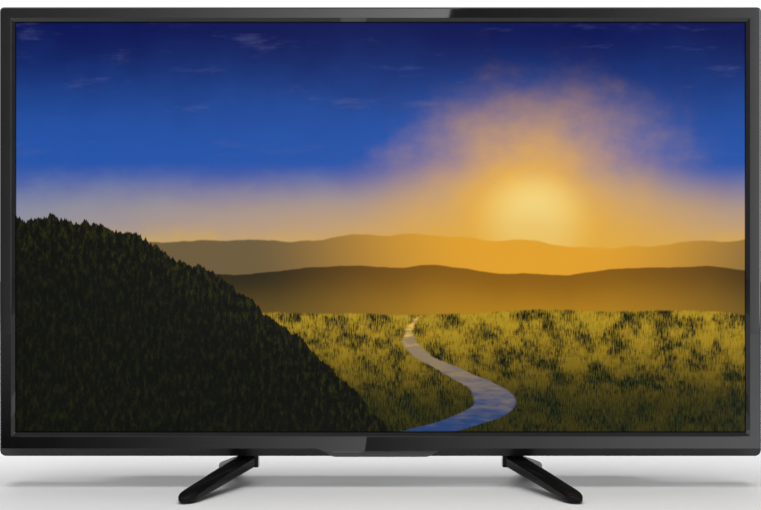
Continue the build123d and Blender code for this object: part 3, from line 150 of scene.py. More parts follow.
class Tree:
    """Adds nodes to a shader or geometry tree."""

    def __init__(self, tree):
        self.tree = tree

    def node(self, kind, settings=None, inputs=None):
        """Add a node of a type, set its settings, then the values or links of its sockets."""
        made = self.tree.nodes.new(kind)
        for key, setting in (settings or {}).items():
            if key == "stops":
                ramp = made.color_ramp.elements
                while len(ramp) < len(setting):
                    ramp.new(1.0)
                for element, (place, colour) in zip(ramp, setting):
                    element.position = place
                    element.color = (*tone(colour), 1.0)
            else:
                setattr(made, key, setting)
        self.fill(made, inputs or {})
        return Node(self, made)

    def fill(self, made, inputs):
        """Set the sockets of a node, or link them where the input is a value or a list of values."""
        for key, given in inputs.items():
            for one in given if isinstance(given, list) else [given]:
                if isinstance(one, Value):
                    self.tree.links.new(one.socket, made.inputs[key])
                else:
                    made.inputs[key].default_value = one

    def combine(self, x, y, z):
        return self.node("ShaderNodeCombineXYZ", None, {0: x, 1: y, 2: z}).value()

    def split(self, vector):
        parts = self.node("ShaderNodeSeparateXYZ", None, {0: vector})
        return parts.value(0), parts.value(1), parts.value(2)

    def blend(self, factor, first, second):
        """Mix of two colours, each a value, a linear colour or a code."""
        settings = {"data_type": "RGBA", "clamp_factor": True}
        mix = self.node("ShaderNodeMix", settings, {0: factor})
        for key, given in ((6, first), (7, second)):
            if isinstance(given, Value):
                self.tree.links.new(given.socket, mix.made.inputs[key])
            else:
                mix.made.inputs[key].default_value = (*tone(given), 1.0)
        return mix.value(2)

    def noise(self, place, scale, detail=3.0, rough=0.5, stretch=None):
        """Noise from 0 to 1 at a place, stretched along an axis if asked."""
        if stretch:
            factors = {0: place, 1: stretch}
            place = self.node("ShaderNodeVectorMath", {"operation": "MULTIPLY"}, factors).value()
        inputs = {"Vector": place, "Scale": scale, "Detail": detail, "Roughness": rough}
        return self.node("ShaderNodeTexNoise", None, inputs).value()

    def ramp(self, factor, stops):
        """Eased colour ramp through the stops."""
        made = self.node("ShaderNodeValToRGB", {"stops": stops}, {0: factor})
        made.made.color_ramp.interpolation = "EASE"
        return made.value()

    def sheet(self, columns, rows):
        """Grid of faces, and the place on it along X and Y from 0 to 1."""
        inputs = {"Size X": 1.0, "Size Y": 1.0, "Vertices X": columns, "Vertices Y": rows}
        grid = self.node("GeometryNodeMeshGrid", None, inputs).value("Mesh")
        x, y, _ = self.split(self.node("GeometryNodeInputPosition").value())
        return grid, x + 0.5, y + 0.5

    def shape(self, grid, place):
        """Grid with its points moved to a place and its seams closed."""
        moved = self.node("GeometryNodeSetPosition", None, {"Geometry": grid, "Position": place}).value()
        inputs = {"Geometry": moved, "Distance": 1e-6}
        return self.node("GeometryNodeMergeByDistance", None, inputs).value()


def empty_tree(owner):
    """Cleared shader tree of a material or a world."""
    owner.use_nodes = True
    owner.node_tree.nodes.clear()
    return Tree(owner.node_tree)


# Materials


def material(name, build):
    """Make a material once: build(tree, place, principled) sets its sockets."""
    found = bpy.data.materials.get(name)
    if found:
        return found
    made = bpy.data.materials.new(name)
    tree = empty_tree(made)
    place = tree.node("ShaderNodeTexCoord").value("Object")
    shader = tree.node("ShaderNodeBsdfPrincipled")
    build(tree, place, shader.made)
    output = tree.node("ShaderNodeOutputMaterial", None, {"Surface": shader.value("BSDF")})
    output.made.is_active_output = True
    return made


def feed(tree, shader, **given):
    """Set or link sockets of a shader, named with a low line for each space."""
    tree.fill(shader, {key.replace("_", " "): one for key, one in given.items()})


def plain(name, dark, light, rough, scale=60.0, metallic=0.0, bump=0.0, grain=0.0, stretch=None, shine=0.5):
    """Maker of a surface whose tone and gloss drift between two values, with a fine grain if asked."""

    def build(tree, place, shader):
        drift = tree.noise(place, scale, 4.0, 0.55, stretch)
        feed(
            tree,
            shader,
            Base_Color=tree.blend(drift.step(0.3, 0.7), dark, light),
            Roughness=rough[0] + drift * (rough[1] - rough[0]),
            Metallic=metallic,
            Specular_IOR_Level=shine,
        )
        if bump:
            height = tree.noise(place, grain, 2.0, 0.6, stretch)
            inputs = {"Height": height, "Distance": bump, "Strength": 1.0}
            feed(tree, shader, Normal=tree.node("ShaderNodeBump", None, inputs).value())

    return lambda: material(name, build)


def grey(level, blue=0.0):
    """A neutral linear colour, a little blue if asked."""
    return (level, level, level * (1 + blue))


def bezel_black(foot, rise):
    """Gloss black with a painted highlight: along the foot of the centre lip its colour turns to a bright
    metallic grey.
    """

    def build(tree, place, shader):
        drift = tree.noise(place, 35.0, 4.0, 0.55)
        _, _, z = tree.split(place)
        # painted highlight: near the lip's foot the colour turns to a metallic grey so that it reflects
        # brightly
        lip_highlight = 1.0 - ((z - foot) / rise).clamp()
        black = tree.blend(drift.step(0.3, 0.7), grey(0.0045, 0.1), grey(0.007, 0.1))
        feed(
            tree,
            shader,
            Base_Color=tree.blend(lip_highlight, black, grey(0.14)),
            Metallic=lip_highlight,
            Roughness=0.018 + drift * 0.018,
            Coat_Weight=0.25,
            Coat_Roughness=0.03,
        )

    return material("Gloss black, painted lip highlight", build)


def zinc_steel():
    """Galvanised sheet: pale crystals of slightly different tone."""

    def build(tree, place, shader):
        spangle = tree.node("ShaderNodeTexVoronoi", None, {"Vector": place, "Scale": 140.0}).value("Color")
        shade = tree.split(spangle)[0]
        feed(
            tree,
            shader,
            Base_Color=tree.blend(shade, grey(0.36, 0.03), grey(0.52, 0.04)),
            Roughness=0.28 + shade * 0.16,
            Metallic=1.0,
        )

    return material("Zinc steel", build)


def circuit(name, mask, trace):
    """Maker of a solder mask with fine copper traces under it."""

    def build(tree, place, shader):
        x, _, z = tree.split(place)
        lines = (x * 900.0 + (z * 260.0).sine() * 2.0).sine() > 0.55
        rows = (z * 700.0 + (x * 190.0).sine() * 2.0).sine() > 0.7
        region = tree.noise(place, 45.0, 1.0) > 0.5
        traces = lines * region + rows * (1.0 - region)
        feed(tree, shader, Base_Color=tree.blend(traces, mask, trace))
        feed(tree, shader, Roughness=0.32 - traces * 0.08)

    return lambda: material(name, build)


def clear_acrylic():
    """Clear moulded acrylic with faint flow marks."""

    def build(tree, place, shader):
        flow = tree.noise(place, 300.0, 2.0)
        feed(
            tree,
            shader,
            Base_Color=tree.blend(flow, grey(0.9), grey(0.97)),
            Roughness=0.03 + flow * 0.05,
            Transmission_Weight=1.0,
            IOR=1.49,
        )

    return material("Clear acrylic", build)


# Each is called for its material, which is made once
satin = {"bump": 2e-5, "grain": 2600.0, "shine": 0.35}
satin_black = plain("Satin black", grey(0.009), grey(0.013), (0.3, 0.38), **satin)
moulded = {"bump": 2e-5, "grain": 1500.0, "shine": 0.12}
foot_black = plain("Foot black", grey(0.004), grey(0.007), (0.13, 0.2), **moulded)
matte_black = plain("Matte black", grey(0.011), grey(0.019), (0.42, 0.58), 30.0, bump=0.00012, grain=1700.0)
key_black = plain("Key black", grey(0.017), grey(0.026), (0.34, 0.46), 90.0, bump=4e-5, grain=2400.0)
socket_black = plain("Socket black", grey(0.009), grey(0.014), (0.32, 0.45), 300.0)
chip_black = plain("Chip black", grey(0.012), grey(0.02), (0.5, 0.62), 500.0, bump=3e-5, grain=3000.0)
rubber = plain("Rubber", grey(0.013), grey(0.022), (0.72, 0.86), 160.0, bump=8e-5, grain=1300.0)
cone_paper = plain("Cone paper", grey(0.012), grey(0.03), (0.75, 0.9), 500.0, bump=0.0002, grain=600.0)
wire_grey = plain("Wire sleeve", grey(0.06), grey(0.1), (0.4, 0.5), 700.0, stretch=(1.0, 1.0, 6.0))
icon_white = plain("Icon white", grey(0.42), grey(0.5), (0.5, 0.62), 200.0)
milky_sheet = plain("Milky sheet", grey(0.72, 0.03), grey(0.8, 0.03), (0.34, 0.46), 25.0)
white_sheet = plain("White reflector", grey(0.78), grey(0.86), (0.5, 0.65), 30.0)
nickel = plain("Nickel", grey(0.5), grey(0.62), (0.16, 0.3), 240.0, 1.0)
gilt = plain("Gilt contacts", (0.62, 0.4, 0.13), (0.78, 0.55, 0.2), (0.18, 0.3), 600.0, 1.0)
screw_steel = plain("Blackened steel", grey(0.05), grey(0.09), (0.3, 0.42), 500.0, 0.9)
aluminium = plain("Aluminium", grey(0.6), grey(0.74), (0.24, 0.38), 40.0, 1.0, stretch=(1.0, 1.0, 30.0))
amber_film = plain("Amber film", (0.36, 0.15, 0.02), (0.5, 0.24, 0.04), (0.16, 0.28), 120.0)
tape_yellow = plain("Winding tape", (0.5, 0.36, 0.04), (0.62, 0.46, 0.07), (0.3, 0.44), 200.0)
can_sleeve = plain("Can sleeve", (0.012, 0.014, 0.03), (0.02, 0.022, 0.045), (0.28, 0.36), 300.0)
insert_blue = plain("Socket blue", (0.01, 0.04, 0.25), (0.015, 0.06, 0.32), (0.4, 0.5), 400.0)
insert_orange = plain("Socket orange", (0.5, 0.12, 0.01), (0.58, 0.16, 0.02), (0.4, 0.5), 400.0)
glossy_window = plain("Infrared window", (0.02, 0.004, 0.006), (0.03, 0.006, 0.009), (0.05, 0.1), 300.0)
circuit_green = circuit("Circuit green", (0.006, 0.07, 0.022), (0.02, 0.16, 0.05))
circuit_tan = circuit("Circuit tan", (0.24, 0.13, 0.045), (0.32, 0.19, 0.07))


def picture(half_width, low_z, high_z, strength):
    """A lit valley at sunrise: low sun at the right, clouds, three ridges, a stream and dark grass."""

    def build(tree, place, shader):
        x, _, z = tree.split(place)
        u = x / half_width
        v = (z - low_z) / (high_z - low_z)
        flat = tree.combine(u * 1.778, v, 0.0)

        def ridge(base, rise, scale, seed):
            return base + (tree.noise(tree.combine(u, seed, 0.0), scale, 5.0, 0.45) - 0.5) * rise

        away_u = (u - 0.42) * 1.5
        away_v = (v - 0.5) * 1.9
        away = (away_u * away_u + away_v * away_v).root()
        billow = tree.noise(flat, 2.2, 6.0, 0.6, (1.0, 2.6, 1.0))
        streak = tree.noise(flat, 3.0, 5.0, 0.65, (0.7, 6.5, 1.0))
        night = tree.ramp(
            v + (billow - 0.5) * 0.12,
            [(0.42, "c2a55a"), (0.52, "7888a6"), (0.66, "2353a8"), (1.0, "020f52")],
        )
        haze = (0.95 - away * 0.95 + (billow - 0.5) * 0.9).step(0.1, 0.9)
        sky = tree.blend(haze * 0.6 * (1.3 - v).clamp(), night, "8d7a84")
        sky = tree.blend(streak.step(0.56, 0.72) * v.step(0.55, 0.8) * 0.3, sky, "5a5f92")
        warm = (1.0 - away * 1.25 + (billow - 0.5) * 0.5).step(0.0, 0.95)
        sky = tree.blend(warm, sky, "f2b63a")
        sky = tree.blend((1.0 - away * 3.4).step(0.0, 0.8), sky, "fff0a0")

        band = (0.2 - abs(v - 0.47)).step(0.0, 0.2) * (1.3 - away * 0.5).clamp() * 0.7
        sky = tree.blend(band, sky, "e0a838")

        far = ridge(0.47, 0.13, 2.1, 3.0)
        middle = ridge(0.40, 0.16, 1.5, 7.3)
        near = ridge(0.29, 0.13, 1.1, 11.9)
        light = (1.2 - away * 1.0).step(0.0, 1.0)
        far_tone = tree.blend(light, "6d5b3c", "e0a02c")
        land = tree.blend((far - v).step(-0.002, 0.004), sky, far_tone)
        mist = (middle - v).step(0.0, 0.13)
        middle_tone = tree.blend(light, "2e2713", "8a5c10")
        middle_tone = tree.blend(mist * 0.8, middle_tone, tree.blend(light, "6e5622", "c8901c"))
        land = tree.blend((middle - v).step(-0.002, 0.003), land, middle_tone)

        blades = tree.noise(flat, 60.0, 4.0, 0.7, (3.0, 0.8, 1.0))
        tufts = tree.noise(flat, 9.0, 4.0, 0.6, (1.0, 2.2, 1.0))
        lit = (blades * 0.6 + tufts * 0.7 - 0.35).step(0.16, 0.42) * (1.5 - away * 0.6).step(0.05, 0.8)
        lit = lit * (1.0 - (near - v).step(0.0, 0.24) * 0.93)
        grass = tree.blend(blades.step(0.4, 0.62), "080d05", "1f2b0e")
        grass = tree.blend(lit, grass, "b08f1e")
        land = tree.blend((near - v).step(-0.003, 0.004), land, grass)

        bend = 0.12 + (v * 17.0).sine() * (0.3 - v) * 0.9
        width = (near - v) * 0.26 + 0.006
        bank = (width - abs(u - bend) + (tufts - 0.5) * 0.03).step(0.0, 0.012)
        ripple = tree.noise(flat, 26.0, 3.0, 0.5, (0.35, 3.5, 1.0))
        depths = [(0.0, "27406f"), (0.2, "8d7a5c"), (0.3, "f0c050")]
        water = tree.ramp(v + (ripple - 0.5) * 0.2, depths)
        land = tree.blend(bank * (near - v).step(0.0, 0.01), land, water)

        crowns = tree.noise(tree.combine(u, 23.0, 0.0), 55.0, 4.0, 0.6) - 0.5
        bumps = tree.noise(tree.combine(u, 31.0, 0.0), 8.0, 4.0, 0.5) - 0.5
        slope = 0.53 - (u + 1.0) * (u + 1.0) * 0.5 + bumps * 0.1 + crowns * 0.05
        leaf = tree.noise(flat, 34.0, 6.0, 0.75, (1.3, 1.0, 1.0))
        under = (slope - v).step(0.0, 0.16)
        wood = tree.blend(leaf.step(0.45, 0.75) * (1.0 - under * 0.6), "070a05", "39380f")
        land = tree.blend((slope - v + (leaf - 0.5) * 0.02).step(-0.002, 0.003), land, wood)

        edge = (1.0 - abs(u)).step(0.0, 0.0035) * v.step(0.0, 0.005) * (1.0 - v).step(0.0, 0.005)
        colour = tree.blend(edge, (0.0, 0.0, 0.0), land)
        feed(tree, shader, Emission_Color=colour)
        feed(tree, shader, Emission_Strength=strength)
        film = tree.noise(place, 40.0, 2.0)
        feed(
            tree,
            shader,
            Base_Color=tree.blend(film, grey(0.002), grey(0.004)),
            Roughness=0.24 + film * 0.08,
            Specular_IOR_Level=0.05,
        )

    return material("Lit picture", build)


# Meshes


def hang(name, data):
    """New object in the scene round a mesh, lamp or camera."""
    made = bpy.data.objects.new(name, data)
    bpy.context.scene.collection.objects.link(made)
    return made


def close(bm, mesh, merge=0.0):
    """Write a bmesh into a mesh and free it, first merged with its faces outwards if asked."""
    if merge:
        bmesh.ops.remove_doubles(bm, verts=bm.verts[:], dist=merge)
        bmesh.ops.recalc_face_normals(bm, faces=bm.faces[:])
    bm.to_mesh(mesh)
    bm.free()
    return mesh


def add_object(name, bm):
    """Turn a bmesh into an object, its faces outwards."""
    return hang(name, close(bm, bpy.data.meshes.new(name), 1e-7))


def bake(obj):
    """Turn an object's modifiers into a plain mesh."""
    graph = bpy.context.evaluated_depsgraph_get()
    mesh = bpy.data.meshes.new_from_object(obj.evaluated_get(graph))
    obj.modifiers.clear()
    old, obj.data = obj.data, mesh
    bpy.data.meshes.remove(old)
    return obj


def carve(obj, operation, tool):
    """Exact boolean of two closed meshes; the tool is used up."""
    step = obj.modifiers.new("Carve", "BOOLEAN")
    step.operation = operation
    step.solver = "EXACT"
    step.object = tool
    bake(obj)
    bpy.data.meshes.remove(tool.data)
    return obj


def soften(obj, width, segments=2, angle=32.0):
    """Round the sharp edges."""
    step = obj.modifiers.new("Edges", "BEVEL")
    step.width = width
    step.segments = segments
    step.limit_method = "ANGLE"
    step.angle_limit = math.radians(angle)
    step.use_clamp_overlap = True
    step.miter_outer = "MITER_ARC"
    return bake(obj)


def seat(obj, finish, body=CABINET, replaces=(), smooth=32.0):
    """Give a piece its material, its shading and its place in the frame."""
    if finish:
        obj.data.materials.clear()
        obj.data.materials.append(finish)
    obj.data.shade_smooth()
    obj.data.set_sharp_from_angle(angle=math.radians(smooth))
    step = obj.modifiers.new("Flat faces", "WEIGHTED_NORMAL")
    step.mode = "FACE_AREA"
    step.weight = 100
    step.keep_sharp = True
    bake(obj)
    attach(obj, body)
    if replaces:
        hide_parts(*replaces)
    return obj


def quarter_round(steps):
    """Points of a quarter round as shares of its radius: how far in, and how far from its end."""
    turns = [step / steps * math.pi / 2 for step in range(steps + 1)]
    return [(1 - math.cos(turn), 1 - math.sin(turn)) for turn in turns]


def ring(half, low_z, high_z, radius, y, flats=8):
    """Rounded rectangle parallel to the screen, as points."""
    points = []
    for quarter, (side_x, side_z) in enumerate(((1, 1), (-1, 1), (-1, -1), (1, -1))):
        middle_z = high_z - radius if side_z > 0 else low_z + radius
        for step in range(flats + 1):
            angle = (quarter + step / flats) * math.pi / 2
            x = side_x * (half - radius) + radius * math.cos(angle)
            points.append(Vector((x, y, middle_z + radius * math.sin(angle))))
    return points


def loft(rings, closed=False):
    """Faces between rings of points; closed joins the last ring to the first, else both ends are capped."""
    bm = bmesh.new()
    rows = [[bm.verts.new(point) for point in points] for points in rings]
    for first, second in zip(rows, rows[1:] + rows[:1] * closed):
        for index in range(len(first)):
            following = (index + 1) % len(first)
            bm.faces.new((first[index], first[following], second[following], second[index]))
    if not closed:
        bm.faces.new(rows[0][::-1])
        bm.faces.new(rows[-1])
    return bm


def prism(outline, axis, start, end):
    """Solid between two places along an axis, from an outline of points in the other two axes."""
    others = [i for i in range(3) if i != axis]

    def row(place):
        points = []
        for first, second in outline:
            point = Vector()
            point[axis] = place
            point[others[0]] = first
            point[others[1]] = second
            points.append(point)
        return points

    return add_object("tool", loft([row(start), row(end)]))


def round_tool(centre, axis, radius, start, end, sides=32):
    """Solid cylinder along an axis through a place."""
    others = [i for i in range(3) if i != axis]
    outline = []
    for step in range(sides):
        angle = step / sides * 2 * math.pi
        first = centre[others[0]] + radius * math.cos(angle)
        outline.append((first, centre[others[1]] + radius * math.sin(angle)))
    return prism(outline, axis, start, end)


def islands(node):
    """Box of each separate solid of a CAD node, from low to high X."""
    bm = bmesh.new()
    bm.from_mesh(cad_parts[node].data)
    bmesh.ops.remove_doubles(bm, verts=bm.verts[:], dist=1e-6)
    left = set(bm.verts)
    found = []
    while left:
        reached = [left.pop()]
        points = []
        while reached:
            vert = reached.pop()
            points.append(vert.co.copy())
            for edge in vert.link_edges:
                other = edge.other_vert(vert)
                if other in left:
                    left.remove(other)
                    reached.append(other)
        low = Vector(min(p[i] for p in points) for i in range(3))
        high = Vector(max(p[i] for p in points) for i in range(3))
        found.append(SimpleNamespace(low=low, high=high, centre=(low + high) / 2))
    bm.free()
    return sorted(found, key=lambda box: (round(box.centre.x, 5), round(box.centre.z, 5), box.centre.y))


def bar(low, high):
    """Solid box between two corners."""
    corners = [(low[0], low[1]), (high[0], low[1]), (high[0], high[1]), (low[0], high[1])]
    return prism(corners, 2, low[2], high[2])


def oblong(width, height, radius, flats=5):
    """Rounded rectangle about the origin, as pairs."""
    return [(point.x, point.z) for point in ring(width / 2, -height / 2, height / 2, radius, 0.0, flats)]


def gather(name, parts):
    """Join meshes into one object; parts are pairs of object and finish."""
    bm = bmesh.new()
    finishes = []
    for part, finish in parts:
        if finish not in finishes:
            finishes.append(finish)
        start = len(bm.faces)
        bm.from_mesh(part.data)
        bm.faces.ensure_lookup_table()
        for face in bm.faces[start:]:
            face.material_index = finishes.index(finish)
        bpy.data.meshes.remove(part.data)
    made = hang(name, close(bm, bpy.data.meshes.new(name)))
    for finish in finishes:
        if finish:
            made.data.materials.append(finish)
    return made


def joined(tools):
    """Join shapes without a finish into one tool."""
    return gather("tools", [(tool, None) for tool in tools])


def curve_points(handles, count):
    """Points of a cubic curve through four handles."""
    points = []
    for step in range(count + 1):
        t = step / count
        weights = ((1 - t) ** 3, 3 * t * (1 - t) ** 2, 3 * t * t * (1 - t), t**3)
        points.append(tuple(sum(w * h[i] for w, h in zip(weights, handles)) for i in range(2)))
    return points


# What a user would change


def length(name, description, millimetres):
    """A length for the sidebar."""
    made = {"name": name, "description": description, "default": millimetres * MM}
    return bpy.props.FloatProperty(min=0.0, unit="LENGTH", **made)


class FlatTvSizes(bpy.types.PropertyGroup):
    """Sizes of the visible shapes."""

    rim_round: length("Rim round", "Radius of the rounded front rim", 2.0)
    corner: length("Corner", "Radius of the body's four corners", 4.0)
    lip: length("Lip", "Run of the sloped lip round the picture", 3.0)
    wall: length("Wall", "Thickness of the moulded walls", 2.2)
    bevel_rise: length("Lower bevel height", "Height of the slanted face under the front", 8.4)
    bevel_back: length("Lower bevel depth", "How far the slanted face goes back", 9.0)
    tongue_top: length("Centre lip top", "Width of the centre lip where it leaves the front", 128.6)
    tongue_foot: length("Centre lip foot", "Width of the centre lip along its lower edge", 79.0)
    tongue_pull: length("Centre lip curve", "Pull of the curved flanks", 12.0)
    edge: length("Edge round", "Radius of the small moulded edges", 0.35)
    leg_width: length("Leg width", "Width of a leg at the neck", 18.5)
    leg_height: length("Leg height", "Height of a leg at its tip", 10.0)
    screw_head: length("Screw head", "Radius of the cover screws' heads", 2.9)


class FlatTvLooks(bpy.types.PropertyGroup):
    """Colours and light."""

    picture_light: bpy.props.FloatProperty(
        name="Picture", description="Brightness of the lit picture", default=1.0, min=0.0, subtype="FACTOR"
    )
    card_light: bpy.props.FloatProperty(
        name="Cards", description="Brightness of the cards that the gloss reflects", default=1.0, min=0.0
    )
    floor_tone: bpy.props.FloatVectorProperty(
        name="Floor",
        description="Colour of the pale floor",
        default=(0.78, 0.78, 0.78),
        subtype="COLOR",
        min=0.0,
        max=1.0,
    )


def sizes():
    return bpy.context.scene.flat_tv_sizes


def looks():
    return bpy.context.scene.flat_tv_looks


class Builder(bpy.types.Operator):
    """Base of the operators that build the pieces."""

    bl_options = {"REGISTER", "UNDO"}

    def execute(self, context):
        self.build(sizes(), looks())
        return {"FINISHED"}


class FLATTV_OT_bezel(Builder):
    """Front bezel with rounded rims, slanted lower face and centre lip"""

    bl_idname = "flattv.bezel"
    bl_label = "Front bezel"

    def build(self, size, look):
        low, high = BEZEL.low, BEZEL.high
        under_z = COVER.low.z
        half = high.x
        front = low.y
        back = high.y
        window_half = half - SIDE_BORDER
        window_low = under_z + LOWER_BORDER
        window_high = high.z - UPPER_BORDER
        ledge = front + 4.4 * MM

        def outer(inset, y):
            return ring(half - inset, under_z + inset, high.z - inset, size.corner - inset * 0.6, y)

        def inner(outset, y):
            return ring(
                window_half + outset, window_low - outset, window_high + outset, 0.3 * MM + outset * 0.1, y
            )

        rings = [outer(0.0, back)]
        for fall, drop in quarter_round(6):
            rings.append(outer(size.rim_round * fall, front + size.rim_round * drop))
        crown = 0.35 * MM
        rings.append(inner(size.lip + crown, front))
        rings.append(inner(size.lip + crown * 0.3, front + crown * 0.3))
        rings.append(inner(0.0, front + size.lip))
        rings.append(inner(0.0, ledge))
        rings.append(inner(4.0 * MM, ledge))
        rings.append(inner(4.0 * MM, front + size.wall))
        rings.append(outer(size.wall, front + size.wall))
        rings.append(outer(size.wall, back))
        bezel = add_object("bezel", loft(rings, closed=True))

        slope = size.bevel_back / size.bevel_rise
        rise, reach = size.bevel_rise, size.bevel_back
        extra = 4 * MM

        def wedge(rise_z, reach_y):
            outline = [
                (front - extra, under_z - extra),
                (front - extra, under_z + rise_z + extra / slope),
                (front + reach_y + extra * slope, under_z - extra),
            ]
            return prism(outline, 0, -half - extra, half + extra)

        # the hollow ends above the slanted face, so a slanted wall closes it
        thick, skin = size.wall * math.hypot(rise, reach), size.wall * 0.5
        inside = prism(
            [
                (front + skin, under_z + rise + thick / reach),
                (front + skin, under_z + skin),
                (front + reach + thick / rise, under_z + skin),
            ],
            0,
            skin - half,
            half - skin,
        )
        carve(bezel, "UNION", inside)
        carve(bezel, "DIFFERENCE", wedge(rise, reach))

        top_z, low_z = under_z + rise, low.z
        top_x, foot_x, pull = size.tongue_top / 2, size.tongue_foot / 2, size.tongue_pull
        handles = [(top_x, top_z), (top_x - pull, top_z), (foot_x + pull, low_z), (foot_x, low_z)]
        flank = curve_points(handles, 28)
        outline = flank + [(-x, z) for x, z in reversed(flank)]
        tongue = prism(outline, 1, front, front + reach)
        # the foot of the lip rolls back over this radius, and a painted highlight, a brighter metallic
        # colour, fades in over it from a little above
        turn, fade = 6.0 * MM, 7.2 * MM
        side = [(front, top_z + 1e-5)]
        side += [(front + turn * fall, low_z + turn * drop) for fall, drop in quarter_round(8)]
        side += [(front + reach, low_z), (front + reach, top_z + 1e-5)]
        carve(tongue, "INTERSECT", prism(side, 0, -top_x - extra, top_x + extra))
        carve(bezel, "UNION", tongue)
        reach_in = 0.1 * MM
        window = bar(
            (WINDOW.low.x - reach_in, WINDOW.low.y - reach_in, low_z - extra),
            (WINDOW.high.x + reach_in, WINDOW.high.y + reach_in, WINDOW.high.z),
        )
        carve(bezel, "DIFFERENCE", window)
        soften(bezel, size.edge, 2, 38.0)
        seat(bezel, bezel_black(low_z, fade), replaces=["front_bezel"], smooth=40.0)
        bezel.data.materials.append(satin_black())
        # the faces in the plane of the slant are satin
        for face in bezel.data.polygons:
            middle = face.center
            off = (middle.y - front) * rise + (middle.z - under_z) * reach - rise * reach
            if abs(off) < 1e-7 and face.normal.y < -0.5 and face.normal.z < -0.5:
                face.material_index = 1


class FLATTV_OT_screen(Builder):
    """Glass of the screen with its lit picture"""

    bl_idname = "flattv.screen"
    bl_label = "Screen"

    def build(self, size, look):
        low, high = CELL.low, CELL.high
        screen = bar(low, high)
        screen.name = "screen"
        window_low, window_high = COVER.low.z + LOWER_BORDER, BEZEL.high.z - UPPER_BORDER
        finish = picture(BEZEL.high.x - SIDE_BORDER, window_low, window_high, look.picture_light)
        soften(screen, 0.15 * MM, 1)
        seat(screen, finish, replaces=["lcd_cell"])


# Geometry Nodes


KINDS = {int: "NodeSocketInt", float: "NodeSocketFloat", tuple: "NodeSocketVector"}
ORIGIN = (0.0, 0.0, 0.0)


def new_tree(name, defaults):
    """Geometry tree with points and named inputs, and the values of those inputs by name."""
    group = bpy.data.node_groups.new(name, "GeometryNodeTree")
    group.interface.new_socket("Geometry", in_out="OUTPUT", socket_type="NodeSocketGeometry")
    group.interface.new_socket("Points", in_out="INPUT", socket_type="NodeSocketGeometry")
    for label, default in defaults.items():
        socket = group.interface.new_socket(label, in_out="INPUT", socket_type=KINDS[type(default)])
        socket.default_value = default
    tree = Tree(group)
    entry = tree.node("NodeGroupInput")
    return tree, {label: entry.value(label) for label in ("Points", *defaults)}


def end_tree(tree, geometry, finish):
    """Close a geometry tree: real faces, then their material."""
    real = tree.node("GeometryNodeRealizeInstances", None, {0: geometry}).value()
    painted = tree.node("GeometryNodeSetMaterial", None, {"Geometry": real, "Material": finish}).value()
    tree.node("NodeGroupOutput", None, {0: painted})


def grow(name, tree, values, points=()):
    """Run a geometry tree with these input values on these points and keep its plain mesh."""
    base = bpy.data.meshes.new(name)
    base.from_pydata(list(points), [], [])
    holder = hang(name, base)
    step = holder.modifiers.new("Grow", "NODES")
    step.node_group = tree.tree
    for item in tree.tree.interface.items_tree:
        if item.in_out == "INPUT" and item.name in values:
            step[item.identifier] = values[item.name]
    bake(holder)
    bm = bmesh.new()
    bm.from_mesh(holder.data)
    close(bm, holder.data, 1e-6)
    return holder


def slot_tree(finish=None):
    """Grid of round-cornered slots, ribs or pins: a filleted rectangle made solid at each place."""
    defaults = {"Columns": 1, "Rows": 1, "Column pitch": 0.012, "Row pitch": 0.03, "Width": 0.003}
    defaults.update({"Height": 0.02, "Depth": 0.01, "Corner": 0.0015, "Corner steps": 5})
    defaults.update({"Centre": ORIGIN, "Turn": ORIGIN})
    tree, given = new_tree("Slot grid", defaults)

    def line(count, pitch, across):
        start = (count - 1.0) * pitch * -0.5
        place = tree.combine(start, 0.0, 0.0) if across else tree.combine(0.0, start, 0.0)
        step = tree.combine(pitch, 0.0, 0.0) if across else tree.combine(0.0, pitch, 0.0)
        inputs = {"Count": count, "Start Location": place, "Offset": step}
        return tree.node("GeometryNodeMeshLine", {"mode": "OFFSET"}, inputs).value()

    columns = line(given["Columns"], given["Column pitch"], True)
    rows = line(given["Rows"], given["Row pitch"], False)
    places = tree.node("GeometryNodeInstanceOnPoints", None, {"Points": columns, "Instance": rows}).value()
    places = tree.node("GeometryNodeRealizeInstances", None, {0: places}).value()

    sheet = {"Width": given["Width"], "Height": given["Height"]}
    outline = tree.node("GeometryNodeCurvePrimitiveQuadrilateral", {"mode": "RECTANGLE"}, sheet).value()
    fillet = {"Curve": outline, "Radius": given["Corner"], "Count": given["Corner steps"]}
    fillet["Limit Radius"] = True
    outline = tree.node("GeometryNodeFilletCurve", {"mode": "POLY"}, fillet).value()
    face = tree.node("GeometryNodeFillCurve", {"mode": "NGONS"}, {"Curve": outline}).value()
    lift = {"Mesh": face, "Offset": (0.0, 0.0, 1.0), "Offset Scale": given["Depth"]}
    lift["Individual"] = False
    top = tree.node("GeometryNodeExtrudeMesh", {"mode": "FACES"}, lift).value()
    base = tree.node("GeometryNodeFlipFaces", None, {"Mesh": face}).value()
    solid = tree.node("GeometryNodeJoinGeometry", None, {"Geometry": [top, base]}).value()
    solid = tree.node("GeometryNodeMergeByDistance", None, {"Geometry": solid, "Distance": 1e-7}).value()
    solids = tree.node("GeometryNodeInstanceOnPoints", None, {"Points": places, "Instance": solid}).value()
    turned = tree.node("FunctionNodeEulerToRotation", None, {0: given["Turn"]}).value()
    inputs = {"Geometry": solids, "Translation": given["Centre"], "Rotation": turned}
    end_tree(tree, tree.node("GeometryNodeTransform", None, inputs).value(), finish)
    return tree


